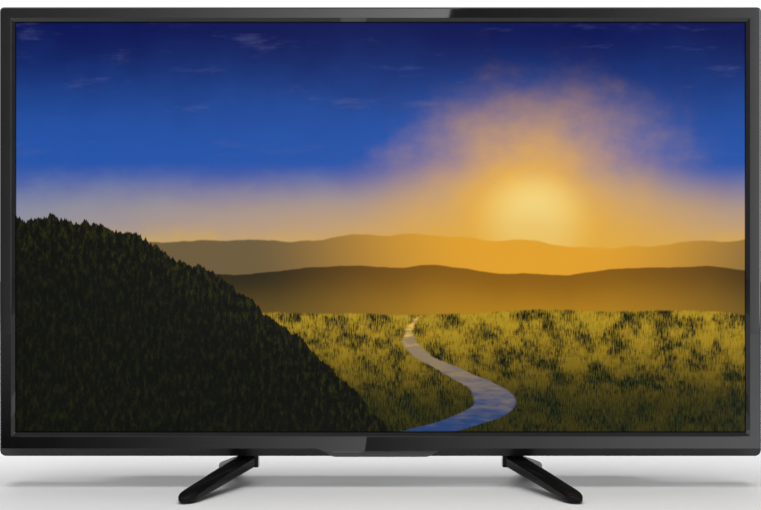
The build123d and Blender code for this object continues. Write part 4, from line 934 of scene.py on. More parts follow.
def screw_tree(finish):
    """Pan-head screws with a rolled thread and a cross recess, one on each point."""
    defaults = {"Head radius": 0.0029, "Head height": 0.0019, "Shank radius": 0.0015, "Length": 0.0036}
    defaults.update({"Thread pitch": 0.0007, "Thread depth": 0.0002, "Turn": ORIGIN})
    tree, given = new_tree("Cross head screws", defaults)
    head_radius, head_height = given["Head radius"], given["Head height"]
    shank, length_in = given["Shank radius"], given["Length"]
    pitch, depth = given["Thread pitch"], given["Thread depth"]
    rows = 60
    grid, along, turn = tree.sheet(rows + 1, 25)
    row = along * float(rows)
    # rows from the top: 10 for the crown, 2 each for its side and its underside, 44 for the shank
    # and 2 for the point
    crown = (row / 10.0).clamp()
    side = ((row - 10.0) / 2.0).clamp()
    under = ((row - 12.0) / 2.0).clamp()
    down = ((row - 14.0) / 44.0).clamp()
    point = ((row - 58.0) / 2.0).clamp()
    z = head_height * (1.0 - crown**3 * 0.38 - side * 0.62) - length_in * down
    cut = (z / pitch + turn).wave() * depth * under * ((1.0 - down) * 30.0).clamp() * (down * 12.0).clamp()
    radius = head_radius * crown - (head_radius - shank) * under - cut - shank * point
    angle = turn * (2 * math.pi)
    x, y = radius.most(0.0) * angle.cosine(), radius.most(0.0) * angle.sine()
    body = tree.shape(grid, tree.combine(x, y, z))
    bars = []
    for turned in (0.0, math.pi / 2):
        blade = tree.combine(head_radius * 1.15, head_radius * 0.26, head_height * 1.1)
        cube = tree.node("GeometryNodeMeshCube", None, {"Size": blade}).value("Mesh")
        lift = tree.combine(0.0, 0.0, head_height * 1.0)
        inputs = {"Geometry": cube, "Translation": lift, "Rotation": (0.0, 0.0, turned)}
        bars.append(tree.node("GeometryNodeTransform", None, inputs).value())
    inputs = {"Mesh 1": body, "Mesh 2": bars}
    settings = {"operation": "DIFFERENCE", "solver": "EXACT"}
    body = tree.node("GeometryNodeMeshBoolean", settings, inputs).value("Mesh")
    turned = tree.node("FunctionNodeEulerToRotation", None, {0: given["Turn"]}).value()
    inputs = {"Points": given["Points"], "Instance": body, "Rotation": turned}
    end_tree(tree, tree.node("GeometryNodeInstanceOnPoints", None, inputs).value(), finish)
    return tree


# Legs: the power of the section's round at the neck, where less is squarer, and what its upper half gains
# toward the tip; then where along the grid the tip starts, and the share of the length that it takes
NECK_POWER = 0.4
TIP_POWER = 0.45
TIP_START = 0.55
TIP_SHARE = 0.13
# Feet: the neck's place across the body, and how far out the front and the rear tip stand
NECK_X = 128.0 * MM
FRONT_TIP_X = 178.1 * MM
REAR_TIP_X = 159.7 * MM


def leg_tree(finish):
    """A tapering leg: a rounded section led from the neck down to a rounded tip."""
    defaults = {"Start": ORIGIN, "End": ORIGIN, "Width": 0.0185, "Tip height": 0.009}
    defaults.update({"Neck top": 0.0298, "Neck low": 0.0175, "Sole": 0.0008})
    tree, given = new_tree("Tapered leg", defaults)
    width, tip_height = given["Width"], given["Tip height"]
    neck_top, neck_low, sole = given["Neck top"], given["Neck low"], given["Sole"]
    start_x, start_y, _ = tree.split(given["Start"])
    end_x, end_y, _ = tree.split(given["End"])
    grid, along, around = tree.sheet(46, 49)
    turn = around * (2 * math.pi)

    rounding = ((along - TIP_START) / (1 - TIP_START)).most(0.0) * (math.pi / 2)
    share = (along / TIP_START).least(1.0) * (1 - TIP_SHARE) + rounding.sine() * TIP_SHARE
    scale = rounding.cosine().most(0.0) * (along > 0.001)
    rise = (1.0 - share / 0.9).most(0.0)
    low_z = sole + rise * (neck_low - sole)
    high_z = sole + tip_height + rise * (neck_top - sole - tip_height)
    height = high_z - low_z
    middle_z = low_z + height * (0.14 + scale * 0.36)

    cosine, sine = turn.cosine(), turn.sine()
    power = share * share * (sine > 0.0) * TIP_POWER + NECK_POWER
    out = cosine.sign() * abs(cosine) ** power * width * (1.0 - share * 0.07) * scale * 0.5
    up = sine.sign() * abs(sine) ** power * height * scale * 0.5
    run_x, run_y = end_x - start_x, end_y - start_y
    reach = (run_x * run_x + run_y * run_y).root()
    x = start_x + run_x * share - run_y / reach * out
    y = start_y + run_y * share + run_x / reach * out
    end_tree(tree, tree.shape(grid, tree.combine(x, y, middle_z + up)), finish)
    return tree


class FLATTV_OT_feet(Builder):
    """Two splayed feet, each a neck with a front and a rear leg"""

    bl_idname = "flattv.feet"
    bl_label = "Feet"

    def build(self, size, look):
        finish = foot_black()
        tree = leg_tree(finish)
        screws = box_of("foot_screws")
        neck_y, low_neck = (screws.low.y + screws.high.y) / 2, screws.low.z
        rim, well_radius, well_low = 1.0 * MM, 4.0 * MM, 10.0 * MM
        for side, node in ((-1, "foot_left"), (1, "foot_right")):
            low, high = box_of(node).low, box_of(node).high
            neck_x = side * NECK_X
            values = {"Start": (neck_x, neck_y, 0.0), "Width": size.leg_width, "Sole": low.z}
            values.update({"Tip height": size.leg_height, "Neck low": low_neck})
            values["Neck top"] = high.z - 0.2 * MM
            foot = None
            for tip_x, tip_y in ((FRONT_TIP_X, low.y + rim), (REAR_TIP_X, high.y - rim)):
                leg = grow("leg", tree, {**values, "End": (side * tip_x, tip_y, 0.0)})
                foot = carve(foot, "UNION", leg) if foot else leg
            block = ring(10.0 * MM, neck_y - 6.0 * MM, neck_y + 11.0 * MM, 3.0 * MM, 0.0, 6)
            carve(foot, "UNION", prism([(neck_x + p.x, p.z) for p in block], 2, low_neck, high.z))
            for pad in islands("foot_pads"):
                if pad.centre.x * side > 0:
                    radius = pad.high.x - pad.centre.x + 0.15 * MM
                    carve(foot, "DIFFERENCE", round_tool(pad.centre, 2, radius, -MM, pad.high.z))
            for screw in islands("foot_screws"):
                if screw.centre.x * side > 0:
                    well = round_tool(screw.centre, 2, well_radius, well_low, low_neck + 2.6 * MM)
                    carve(foot, "DIFFERENCE", well)
            foot.name = node + "_shape"
            seat(foot, finish, replaces=[node], smooth=34.0)


# Rear cover, from its rim to its housing and the bays that are sunk into the housing
RIM = SimpleNamespace(half=COVER.high.x, low=COVER.low.z, high=COVER.high.z, corner=4.0 * MM)
SHOULDER = SimpleNamespace(draft=1.2 * MM, y=18.0 * MM)
RIM_BACK = SimpleNamespace(taper=6.0 * MM, y=26.0 * MM, corner=9.0 * MM)
HOUSING = SimpleNamespace(half=290.0 * MM, low=46.0 * MM, high=352.0 * MM, corner=14.0 * MM)
CROWN = SimpleNamespace(half=262.0 * MM, low=50.0 * MM, high=312.0 * MM, edge=4.0 * MM)
SIDE_BAY = SimpleNamespace(x=200.0 * MM, low=100.0 * MM, high=186.0 * MM)
MAINS_BAY = SimpleNamespace(x=-200.0 * MM, low=112.0 * MM, high=160.0 * MM)
LOWER_BAY = SimpleNamespace(inner=30.0 * MM, outer=160.0 * MM, high=92.0 * MM)
# The lower bay's sound socket beyond this place is round
ROUND_X = 140.0 * MM
KEY_SKIRT = 1.2 * MM
SOCKETS = ["hdmi_sockets", "usb_socket", "audio_sockets", "vga_socket", "tuner", "mains_inlet"]


def cover_form(inset, front):
    """The cover's outer form, or its hollow when every wall is moved in by an inset."""

    def rim(draft, corner, y):
        corner = max(corner - inset, 0.8 * MM)
        return ring(RIM.half - draft - inset, RIM.low + inset, RIM.high - draft - inset, corner, y)

    steps = 6
    rings = [rim(0.0, RIM.corner, front), rim(SHOULDER.draft, RIM.corner, SHOULDER.y - inset)]
    for step in range(1, steps + 1):
        angle = step / steps * math.pi / 2
        draft = SHOULDER.draft + (RIM_BACK.taper - SHOULDER.draft) * (1 - math.cos(angle))
        corner = RIM.corner + (RIM_BACK.corner - RIM.corner) * step / steps
        rings.append(rim(draft, corner, SHOULDER.y + (RIM_BACK.y - SHOULDER.y) * math.sin(angle) - inset))
    form = add_object("cover", loft(rings))

    def raised(half, low, high, corner, y):
        corner = max(corner - inset, 0.8 * MM)
        return ring(half - inset, low + inset, high - inset, corner, y - inset)

    root = 4.0 * MM
    rings = [raised(HOUSING.half, HOUSING.low, HOUSING.high, HOUSING.corner, RIM_BACK.y - root)]
    rings.append(raised(HOUSING.half, HOUSING.low, HOUSING.high, HOUSING.corner, RIM_BACK.y))
    for fall, rise in quarter_round(steps):
        inner, y = CROWN.edge * fall, COVER.high.y - CROWN.edge * rise
        low, high = CROWN.low + inner / 2, CROWN.high - inner
        rings.append(raised(CROWN.half - inner, low, high, HOUSING.corner - inner, y))
    carve(form, "UNION", add_object("housing", loft(rings)))

    far = 200.0 * MM
    bays = [
        (SIDE_BAY.x - inset, SIDE_BAY.x + far, SIDE_BAY.low - inset, SIDE_BAY.high + inset),
        (MAINS_BAY.x - far, MAINS_BAY.x + inset, MAINS_BAY.low - inset, MAINS_BAY.high + inset),
        (LOWER_BAY.inner - inset, LOWER_BAY.outer + inset, -far, LOWER_BAY.high + inset),
    ]
    floor = RIM_BACK.y - inset
    bars = [bar((low_x, floor, low_z), (high_x, far, high_z)) for low_x, high_x, low_z, high_z in bays]
    return carve(form, "DIFFERENCE", joined(bars))


class FLATTV_OT_cover(Builder):
    """Rear cover: thin rim and raised housing with vents, socket bays and screw wells"""

    bl_idname = "flattv.cover"
    bl_label = "Rear cover"

    def build(self, size, look):
        wall = size.wall
        cover = cover_form(0.0, COVER.low.y)
        carve(cover, "DIFFERENCE", cover_form(wall, COVER.low.y - wall))
        screws = islands("rear_cover_screws")
        wells = [(place.centre, size.screw_head + 0.7 * MM) for place in screws]
        # the bosses start inside the cover and hold the floor of each screw's well
        start, floor = 16.4 * MM, 18.4 * MM
        boss_wall, boss_end = 1.4 * MM, RIM_BACK.y - wall / 2
        bosses = [round_tool(at, 1, radius + boss_wall, start, boss_end) for at, radius in wells]
        carve(cover, "UNION", joined(bosses))
        sunk = [round_tool(at, 1, radius, floor, RIM_BACK.y + wall) for at, radius in wells]
        carve(cover, "DIFFERENCE", joined(sunk))
        shank, stud_hole, foot_hole, gap = 1.8 * MM, 6.2 * MM, 2.3 * MM, 0.3 * MM
        holes = [round_tool(at, 1, shank, start - wall, floor + wall) for at, _ in wells]
        crown_y = COVER.high.y
        for stud in islands("vesa_standoffs"):
            holes.append(round_tool(stud.centre, 1, stud_hole, crown_y - 2 * wall, crown_y + wall))
        for screw in islands("foot_screws"):
            holes.append(round_tool(screw.centre, 2, foot_hole, RIM.low - wall, RIM.low + 2 * wall))
        for node in SOCKETS:
            for box in islands(node):
                holes.append(self.mouth(node, box, wall, gap))
        for node in SYMBOLS:
            box = box_of(node)
            reach = Vector((gap - KEY_SKIRT, wall, gap - KEY_SKIRT))
            holes.append(bar(box.low - reach, box.high + reach))
        carve(cover, "DIFFERENCE", joined(holes))
        carve(cover, "DIFFERENCE", self.slots(wall))
        soften(cover, size.edge, 2, 38.0)
        cover.name = "rear_cover_shape"
        seat(cover, matte_black(), replaces=["rear_cover"], smooth=34.0)

    def mouth(self, node, box, wall, gap):
        """Tool for the opening round one socket."""
        margin = Vector((gap, gap, gap))
        low, high = box.low - margin, box.high + margin
        if node == "mains_inlet":
            low.x, high.x = MAINS_BAY.x - wall, MAINS_BAY.x + 2 * wall
        elif box.high.x > SIDE_BAY.x - wall:
            low.x, high.x = SIDE_BAY.x - 2 * wall, SIDE_BAY.x + wall
        else:
            low.z, high.z = LOWER_BAY.high - wall, LOWER_BAY.high + 2 * wall
            if node == "tuner" or (node == "audio_sockets" and box.centre.x > ROUND_X):
                radius = 5.9 * MM if node == "tuner" else (box.high.x - box.low.x) / 2 + gap
                return round_tool(box.centre, 2, radius, low.z, high.z)
        return bar(low, high)

    def slots(self, wall):
        """Tool for the vents and the speakers' openings."""
        tree = slot_tree()
        back = COVER.high.y + wall
        deep = back - RIM_BACK.y - wall
        upright = (math.pi / 2, 0.0, 0.0)
        vent = {"Column pitch": 12.0 * MM, "Row pitch": 34.0 * MM, "Width": 3.0 * MM, "Corner": 1.5 * MM}
        upper = {"Columns": 18, "Height": 20.0 * MM, "Depth": deep, "Turn": upright}
        upper["Centre"] = (0.0, back, (HOUSING.high + CROWN.high) / 2)
        tools = [grow("vents", tree, {**vent, **upper})]
        for side in (-1, 1):
            lower = {"Columns": 7, "Rows": 2, "Height": 24.0 * MM, "Depth": deep, "Turn": upright}
            lower["Centre"] = (side * 112.0 * MM, back, 142.0 * MM)
            tools.append(grow("vents", tree, {**vent, **lower}))
            voice = {"Columns": 7, "Column pitch": 8.5 * MM, "Width": 2.4 * MM, "Height": 18.0 * MM}
            voice.update({"Depth": 14.0 * MM, "Corner": 1.2 * MM})
            voice["Centre"] = (side * 215.0 * MM, 37.0 * MM, 40.0 * MM)
            tools.append(grow("vents", tree, voice))
        return joined(tools)


class FLATTV_OT_screws(Builder):
    """Cross-head screws of the rear cover, feet, boards and speakers"""

    bl_idname = "flattv.screws"
    bl_label = "Screws"

    def build(self, size, look):
        tree = screw_tree(screw_steel())
        rear = (-math.pi / 2, 0.0, 0.0)
        small = {"Head radius": size.screw_head, "Head height": 1.9 * MM, "Shank radius": 1.5 * MM}
        small["Turn"] = rear
        for node in ("rear_cover_screws", "board_screws", "speaker_screws"):
            places = []
            for box in islands(node):
                places.append((box.centre.x, box.high.y - small["Head height"], box.centre.z))
                small["Length"] = box.high.y - box.low.y - small["Head height"]
            screws = grow(node + "_shape", tree, small, places)
            seat(screws, None, replaces=[node])
        large = {"Head radius": 3.8 * MM, "Head height": 2.6 * MM, "Shank radius": 2.0 * MM}
        large.update({"Length": 14.0 * MM, "Thread pitch": 0.9 * MM, "Turn": (math.pi, 0.0, 0.0)})
        under = Vector((0.0, 0.0, large["Head height"]))
        places = [Vector((*box.centre.xy, box.low.z)) + under for box in islands("foot_screws")]
        seat(grow("foot_screws_shape", tree, large, places), None, replaces=["foot_screws"])


def relative(centre, outlines):
    """Outlines in millimetres, set round a place on the XZ plane."""
    return [[(centre.x - x * MM, centre.z + z * MM) for x, z in outline] for outline in outlines]


def box_outline(x, z, half_x, half_z):
    return [(x + i * half_x, z + j * half_z) for i, j in ((-1, -1), (1, -1), (1, 1), (-1, 1))]


def arc_outline(outer, inner, start, end, count=20):
    """Band between two radii, from one angle to another in degrees."""
    turns = [math.radians(start + (end - start) * step / count) for step in range(count + 1)]
    rim = [(outer * math.cos(t), outer * math.sin(t)) for t in turns]
    return rim + [(inner * math.cos(t), inner * math.sin(t)) for t in reversed(turns)]


CHEVRON = [(-1.5, -0.75), (-1.1, -1.05), (0.0, 0.1), (1.1, -1.05), (1.5, -0.75), (0.0, 0.85)]
PLUS = [(-1.4, -0.24), (-0.24, -0.24), (-0.24, -1.4), (0.24, -1.4), (0.24, -0.24), (1.4, -0.24)]
PLUS += [(-x, -z) for x, z in PLUS]
TRAY = [(-1.5, 0.3), (-1.5, -1.4), (1.5, -1.4), (1.5, 0.3)]
TRAY += [(1.1, 0.3), (1.1, -1.0), (-1.1, -1.0), (-1.1, 0.3)]
ARROW = [(-0.22, 1.5), (-0.22, 0.3), (-0.75, 0.3), (0.0, -0.55), (0.75, 0.3), (0.22, 0.3), (0.22, 1.5)]
SYMBOLS = {
    "key_volume_down": [box_outline(0.0, 0.0, 1.4, 0.24)],
    "key_volume_up": [PLUS],
    "key_channel_down": [[(x, -z) for x, z in CHEVRON]],
    "key_channel_up": [CHEVRON],
    "key_menu": [box_outline(0.0, z, 1.4, 0.2) for z in (-0.9, 0.0, 0.9)],
    "key_source": [TRAY, ARROW],
    "key_power": [arc_outline(1.5, 1.1, 125.0, 415.0), box_outline(0.0, 1.15, 0.2, 0.75)],
}


class FLATTV_OT_keys(Builder):
    """Seven keys with soft edges and a printed symbol each"""

    bl_idname = "flattv.keys"
    bl_label = "Keys"

    def build(self, size, look):
        finish, print_finish = key_black(), icon_white()
        for node, symbols in SYMBOLS.items():
            box = box_of(node)
            span = box.high - box.low
            skirt = KEY_SKIRT
            top = box.high.y - 0.04 * MM

            def slab(width, height, radius, start, end):
                outline = [(box.centre.x + x, box.centre.z + z) for x, z in oblong(width, height, radius)]
                return prism(outline, 1, start, end)

            key = slab(span.x - 2 * skirt, span.z - 2 * skirt, 1.1 * MM, box.low.y, top)
            carve(key, "UNION", slab(span.x, span.z, 0.8 * MM, box.low.y, box.low.y + skirt))
            soften(key, 0.4 * MM, 3)
            parts = [(key, finish)]
            for outline in relative(box.centre, symbols):
                parts.append((prism(outline, 1, top, box.high.y), print_finish))
            seat(gather(node + "_shape", parts), None, body=node, replaces=[node])


def mouth_matrix(box, outward):
    """Matrix from a socket's own axes (across, along Y, outwards) to its mouth's place."""
    outward = Vector(outward)
    height = Vector((0.0, 1.0, 0.0))
    turn = Matrix((height.cross(outward), height, outward)).transposed().to_4x4()
    reach = max(range(3), key=lambda axis: abs(outward[axis]))
    place = box.centre.copy()
    place[reach] = box.high[reach] if outward[reach] > 0 else box.low[reach]
    return Matrix.Translation(place) @ turn


def tube(outline, hollow, start, floor, end=0.0):
    """Shell along its outward axis: an outline, hollowed from its mouth to a floor."""
    shell = prism(outline, 2, start, end)
    return carve(shell, "DIFFERENCE", prism(hollow, 2, floor, end + MM))


def circle(radius, x=0.0, y=0.0, sides=32):
    turns = [step / sides * 2 * math.pi for step in range(sides)]
    return [(x + radius * math.cos(t), y + radius * math.sin(t)) for t in turns]


SHELL_BACK = -15.9 * MM


class FLATTV_OT_sockets(Builder):
    """Digital, serial, analogue, sound, aerial and mains sockets with their contacts"""

    bl_idname = "flattv.sockets"
    bl_label = "Sockets"

    def build(self, size, look):
        self.contacts = slot_tree()
        makers = [
            ("hdmi_sockets", self.digital, "plated_steel"),
            ("usb_socket", self.serial, "plated_steel"),
            ("audio_sockets", self.sound, "matte_black"),
            ("vga_socket", self.analogue, "plated_steel"),
            ("tuner", self.aerial, "plated_steel"),
            ("mains_inlet", self.mains, "matte_black"),
        ]
        for node, maker, slot in makers:
            parts = []
            for box in islands(node):
                outward = (0.0, 0.0, -1.0)
                if node == "mains_inlet":
                    outward = (-1.0, 0.0, 0.0)
                elif box.high.x > SIDE_BAY.x - MM:
                    outward = (1.0, 0.0, 0.0)
                matrix = mouth_matrix(box, outward)
                for part, finish in maker(box):
                    part.data.transform(matrix)
                    parts.append((part, finish))
            seat(gather(node + "_shape", parts), None, replaces=[node])

    def strips(self, count, pitch, width, along, place, thick=0.08 * MM):
        """Row of gilt contact strips on a tongue, with their near ends at a place."""
        values = {"Columns": count, "Column pitch": pitch, "Width": width, "Height": thick, "Depth": along}
        values.update({"Corner": thick / 4, "Corner steps": 1, "Centre": place})
        return grow("contacts", self.contacts, values)

    def digital(self, box):
        """D-shaped shell with a thin tongue and contacts on both of its faces."""

        def outline(inset):
            wide, high = inset - 7.5 * MM, 2.8 * MM - inset
            points = [(wide, high), (wide, -0.6 * MM), (inset * 0.6 - 5.9 * MM, -high)]
            return points + [(-x, y) for x, y in reversed(points)]

        shell = soften(tube(outline(0.0), outline(0.45 * MM), SHELL_BACK, -9.5 * MM), 0.15 * MM)
        tongue = prism(oblong(12.6 * MM, 1.2 * MM, 0.3 * MM, 3), 2, -9.5 * MM, -0.9 * MM)
        upper = self.strips(10, 1.0 * MM, 0.5 * MM, 7.6 * MM, (0.0, 0.62 * MM, -9.3 * MM))
        lower = self.strips(9, 1.0 * MM, 0.5 * MM, 7.6 * MM, (0.0, -0.62 * MM, -9.3 * MM))
        return [(shell, nickel()), (tongue, socket_black()), (upper, gilt()), (lower, gilt())]

    def serial(self, box):
        """Flat shell with a thick tongue and four contacts under it."""
        wide, high, inset, floor = 14.2 * MM, 6.6 * MM, 0.9 * MM, -10.5 * MM
        hollow = oblong(wide - inset, high - inset, 0.4 * MM)
        shell = soften(tube(oblong(wide, high, 0.8 * MM), hollow, SHELL_BACK, floor), 0.15 * MM)
        outline = [(x, y + 0.7 * MM) for x, y in oblong(11.6 * MM, 1.9 * MM, 0.3 * MM, 3)]
        tongue = prism(outline, 2, floor, -1.0 * MM)
        pins = self.strips(4, 2.5 * MM, 1.1 * MM, 8.2 * MM, (0.0, -0.28 * MM, -10.2 * MM))
        return [(shell, nickel()), (tongue, socket_black()), (pins, gilt())]

    def sound(self, box):
        """Square body with a ringed hole, or a round one with a coloured collar."""
        width = box.high.x - box.low.x if box.low.z < LOWER_BAY.high + MM else box.high.z - box.low.z
        if box.low.z < LOWER_BAY.high + MM and box.centre.x > ROUND_X:
            radius = width / 2 - 0.05 * MM
            body = tube(circle(radius), circle(radius - 0.9 * MM), SHELL_BACK, -6.0 * MM, -0.5 * MM)
            collar = tube(circle(radius - 1.3 * MM), circle(1.6 * MM), -15.0 * MM, -10.0 * MM)
            return [(body, nickel()), (soften(collar, 0.3 * MM, 3), insert_orange())]
        bore = 1.75 * MM
        rim = circle(bore + 0.8 * MM)
        outline = oblong(width - 0.1 * MM, 6.9 * MM, 0.7 * MM)
        body = soften(tube(outline, rim, SHELL_BACK, -1.2 * MM), 0.2 * MM)
        ring_part = soften(tube(rim, circle(bore), -11.0 * MM, -10.0 * MM, -0.6 * MM), 0.2 * MM)
        return [(body, socket_black()), (ring_part, nickel())]

    def analogue(self, box):
        """Flange with a tapered shell, fifteen holes in a blue insert and two hex posts."""

        def shell_outline(inset):
            top, low, high = 8.5 * MM - inset, 7.6 * MM - inset, 4.2 * MM - inset
            cut = 1.6 * MM
            points = [(top - cut, high), (top, high - cut), (low, cut - high), (low - cut, -high)]
            return points + [(-x, y) for x, y in reversed(points)]

        flange = prism(oblong(31.0 * MM, 12.4 * MM, 1.0 * MM), 2, -7.0 * MM, -6.0 * MM)
        back = prism(oblong(30.6 * MM, 12.0 * MM, 0.6 * MM), 2, SHELL_BACK, -7.0 * MM)
        shell = soften(tube(shell_outline(0.0), shell_outline(0.5 * MM), -6.5 * MM, -5.5 * MM), 0.2 * MM)
        insert = prism(shell_outline(0.6 * MM), 2, -5.6 * MM, -0.8 * MM)
        holes = []
        for row, shift in ((-1, 1.15), (0, 0.0), (1, 1.15)):
            values = {"Columns": 5, "Column pitch": 2.29 * MM, "Width": 1.0 * MM, "Height": 1.0 * MM}
            values.update({"Corner": 0.49 * MM, "Depth": 5.0 * MM})
            values["Centre"] = (shift * MM * 0.5 * row, row * 1.98 * MM, -4.0 * MM)
            holes.append(grow("holes", self.contacts, values))
        carve(insert, "DIFFERENCE", joined(holes))
        parts = [(flange, nickel()), (back, socket_black()), (shell, nickel()), (insert, insert_blue())]
        for x in (-12.5 * MM, 12.5 * MM):
            hexagon = circle(2.7 * MM, x, 0.0, 6)
            post = soften(tube(hexagon, circle(1.4 * MM, x), -6.2 * MM, -5.0 * MM, -1.2 * MM), 0.25 * MM)
            parts.append((post, nickel()))
        return parts

    def aerial(self, box):
        """Folded can with a stepped barrel, its insulator and its centre pin."""

        def fine(radius):
            return circle(radius, sides=48)

        can = soften(prism(oblong(34.0 * MM, 12.0 * MM, 0.8 * MM), 2, -53.0 * MM, -13.0 * MM), 0.3 * MM)
        barrel = tube(fine(5.6 * MM), fine(4.7 * MM), -13.2 * MM, -12.5 * MM)
        groove = tube(fine(7.0 * MM), fine(5.35 * MM), -4.4 * MM, -5.0 * MM, -3.4 * MM)
        carve(barrel, "DIFFERENCE", groove)
        soften(barrel, 0.2 * MM, 2)
        disc = prism(fine(4.72 * MM), 2, -12.6 * MM, -11.0 * MM)
        pin = soften(prism(circle(1.15 * MM, sides=24), 2, -12.0 * MM, -2.0 * MM), 0.4 * MM, 3)
        return [(can, zinc_steel()), (barrel, nickel()), (disc, milky_sheet()), (pin, nickel())]

    def mains(self, box):
        """Two-pole inlet: a waisted recess with two round pins."""
        deep = -14.0 * MM
        body = prism(oblong(24.0 * MM, 16.0 * MM, 1.6 * MM), 2, box.low.x - box.high.x, 0.0)
        for x in (-4.0 * MM, 4.0 * MM):
            carve(body, "DIFFERENCE", prism(circle(4.2 * MM, x, 0.0, 40), 2, deep, MM))
        carve(body, "DIFFERENCE", prism(oblong(8.0 * MM, 6.6 * MM, 0.2 * MM), 2, deep, MM))
        soften(body, 0.4 * MM, 3)
        parts = [(body, socket_black())]
        for x in (-4.3 * MM, 4.3 * MM):
            pin = soften(prism(circle(1.15 * MM, x, 0.0, 24), 2, deep - 0.5 * MM, -3.0 * MM), 0.5 * MM, 3)
            parts.append((pin, nickel()))
        return parts


class FLATTV_OT_small(Builder):
    """Wall-mount studs, foot pads and the infrared window"""

    bl_idname = "flattv.small"
    bl_label = "Small parts"

    def build(self, size, look):
        studs = []
        for box in islands("vesa_standoffs"):
            across = (box.high.z - box.low.z) / math.sqrt(3)
            mouth = box.high.y
            stud = round_tool(box.centre, 1, across, box.low.y, mouth, 6)
            carve(stud, "DIFFERENCE", round_tool(box.centre, 1, 2.0 * MM, mouth - 12.0 * MM, mouth + MM))
            soften(stud, 0.5 * MM, 3)
            studs.append((stud, zinc_steel()))
        seat(gather("vesa_standoffs_shape", studs), None, replaces=["vesa_standoffs"])
        pads = []
        for box in islands("foot_pads"):
            radius = (box.high.x - box.low.x) / 2
            sole = box.low.z
            pad = round_tool(box.centre, 2, radius, sole, box.high.z, 48)
            for outer in (0.75, 0.45):
                groove = round_tool(box.centre, 2, radius * outer, sole - MM, sole + 0.3 * MM, 48)
                core = round_tool(box.centre, 2, radius * (outer - 0.12), sole - 2 * MM, sole + MM, 48)
                carve(pad, "DIFFERENCE", carve(groove, "DIFFERENCE", core))
            soften(pad, 0.25 * MM, 3)
            pads.append((pad, rubber()))
        seat(gather("foot_pads_shape", pads), None, replaces=["foot_pads"])
        window = bar(WINDOW.low, WINDOW.high)
        window.name = "ir_window_shape"
        soften(window, 0.6 * MM, 3)
        seat(window, glossy_window(), replaces=["ir_window"])


INSIDE = [
    (zinc_steel, ["backlight_pan", "timing_shield", "stand_brackets", "board_standoffs"]),
    (matte_black, ["middle_frame", "speaker_box_left", "speaker_box_right", "key_guide"]),
    (rubber, ["cell_gasket", "speaker_grommets"]),
    (cone_paper, ["speaker_cone_left", "speaker_cone_right"]),
    (milky_sheet, ["prism_sheet", "diffuser_sheet", "diffuser_plate", "diffuser_posts"]),
    (white_sheet, ["reflector_sheet", "led_strips", "board_headers"]),
    (clear_acrylic, ["led_lenses"]),
    (circuit_green, ["source_board", "timing_board", "main_board", "key_board", "ir_board"]),
    (circuit_tan, ["power_board"]),
    (amber_film, ["flex_films", "display_cable"]),
    (chip_black, ["processor", "key_switches"]),
    (aluminium, ["heat_sink", "power_heat_sink"]),
    (tape_yellow, ["transformers"]),
    (can_sleeve, ["capacitors"]),
    (wire_grey, ["wire_leads"]),
]


class FLATTV_OT_inside(Builder):
    """Finishes of the parts inside the case"""

    bl_idname = "flattv.inside"
    bl_label = "Inner parts"

    def build(self, size, look):
        for finish, nodes in INSIDE:
            for node in nodes:
                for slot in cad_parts[node].material_slots:
                    slot.material = finish()


# Stage


def emitter(name, strength):
    """Material that only shines, as strong as a function of the tree and the place says."""
    made = bpy.data.materials.new(name)
    tree = empty_tree(made)
    place = tree.node("ShaderNodeTexCoord").value("Object")
    shine = tree.node("ShaderNodeEmission", None, {"Strength": strength(tree, place)})
    tree.node("ShaderNodeOutputMaterial", None, {"Surface": shine.value()})
    return made


def light(name, energy, place, target, size_x, size_y):
    """A rectangular lamp at a place, turned to a target."""
    lamp = bpy.data.lights.new(name, "AREA")
    lamp.shape = "RECTANGLE"
    lamp.size, lamp.size_y, lamp.energy = size_x, size_y, energy
    made = hang(name, lamp)
    made.location = place
    made.rotation_euler = (Vector(target) - Vector(place)).to_track_quat("-Z", "Y").to_euler()
    return made


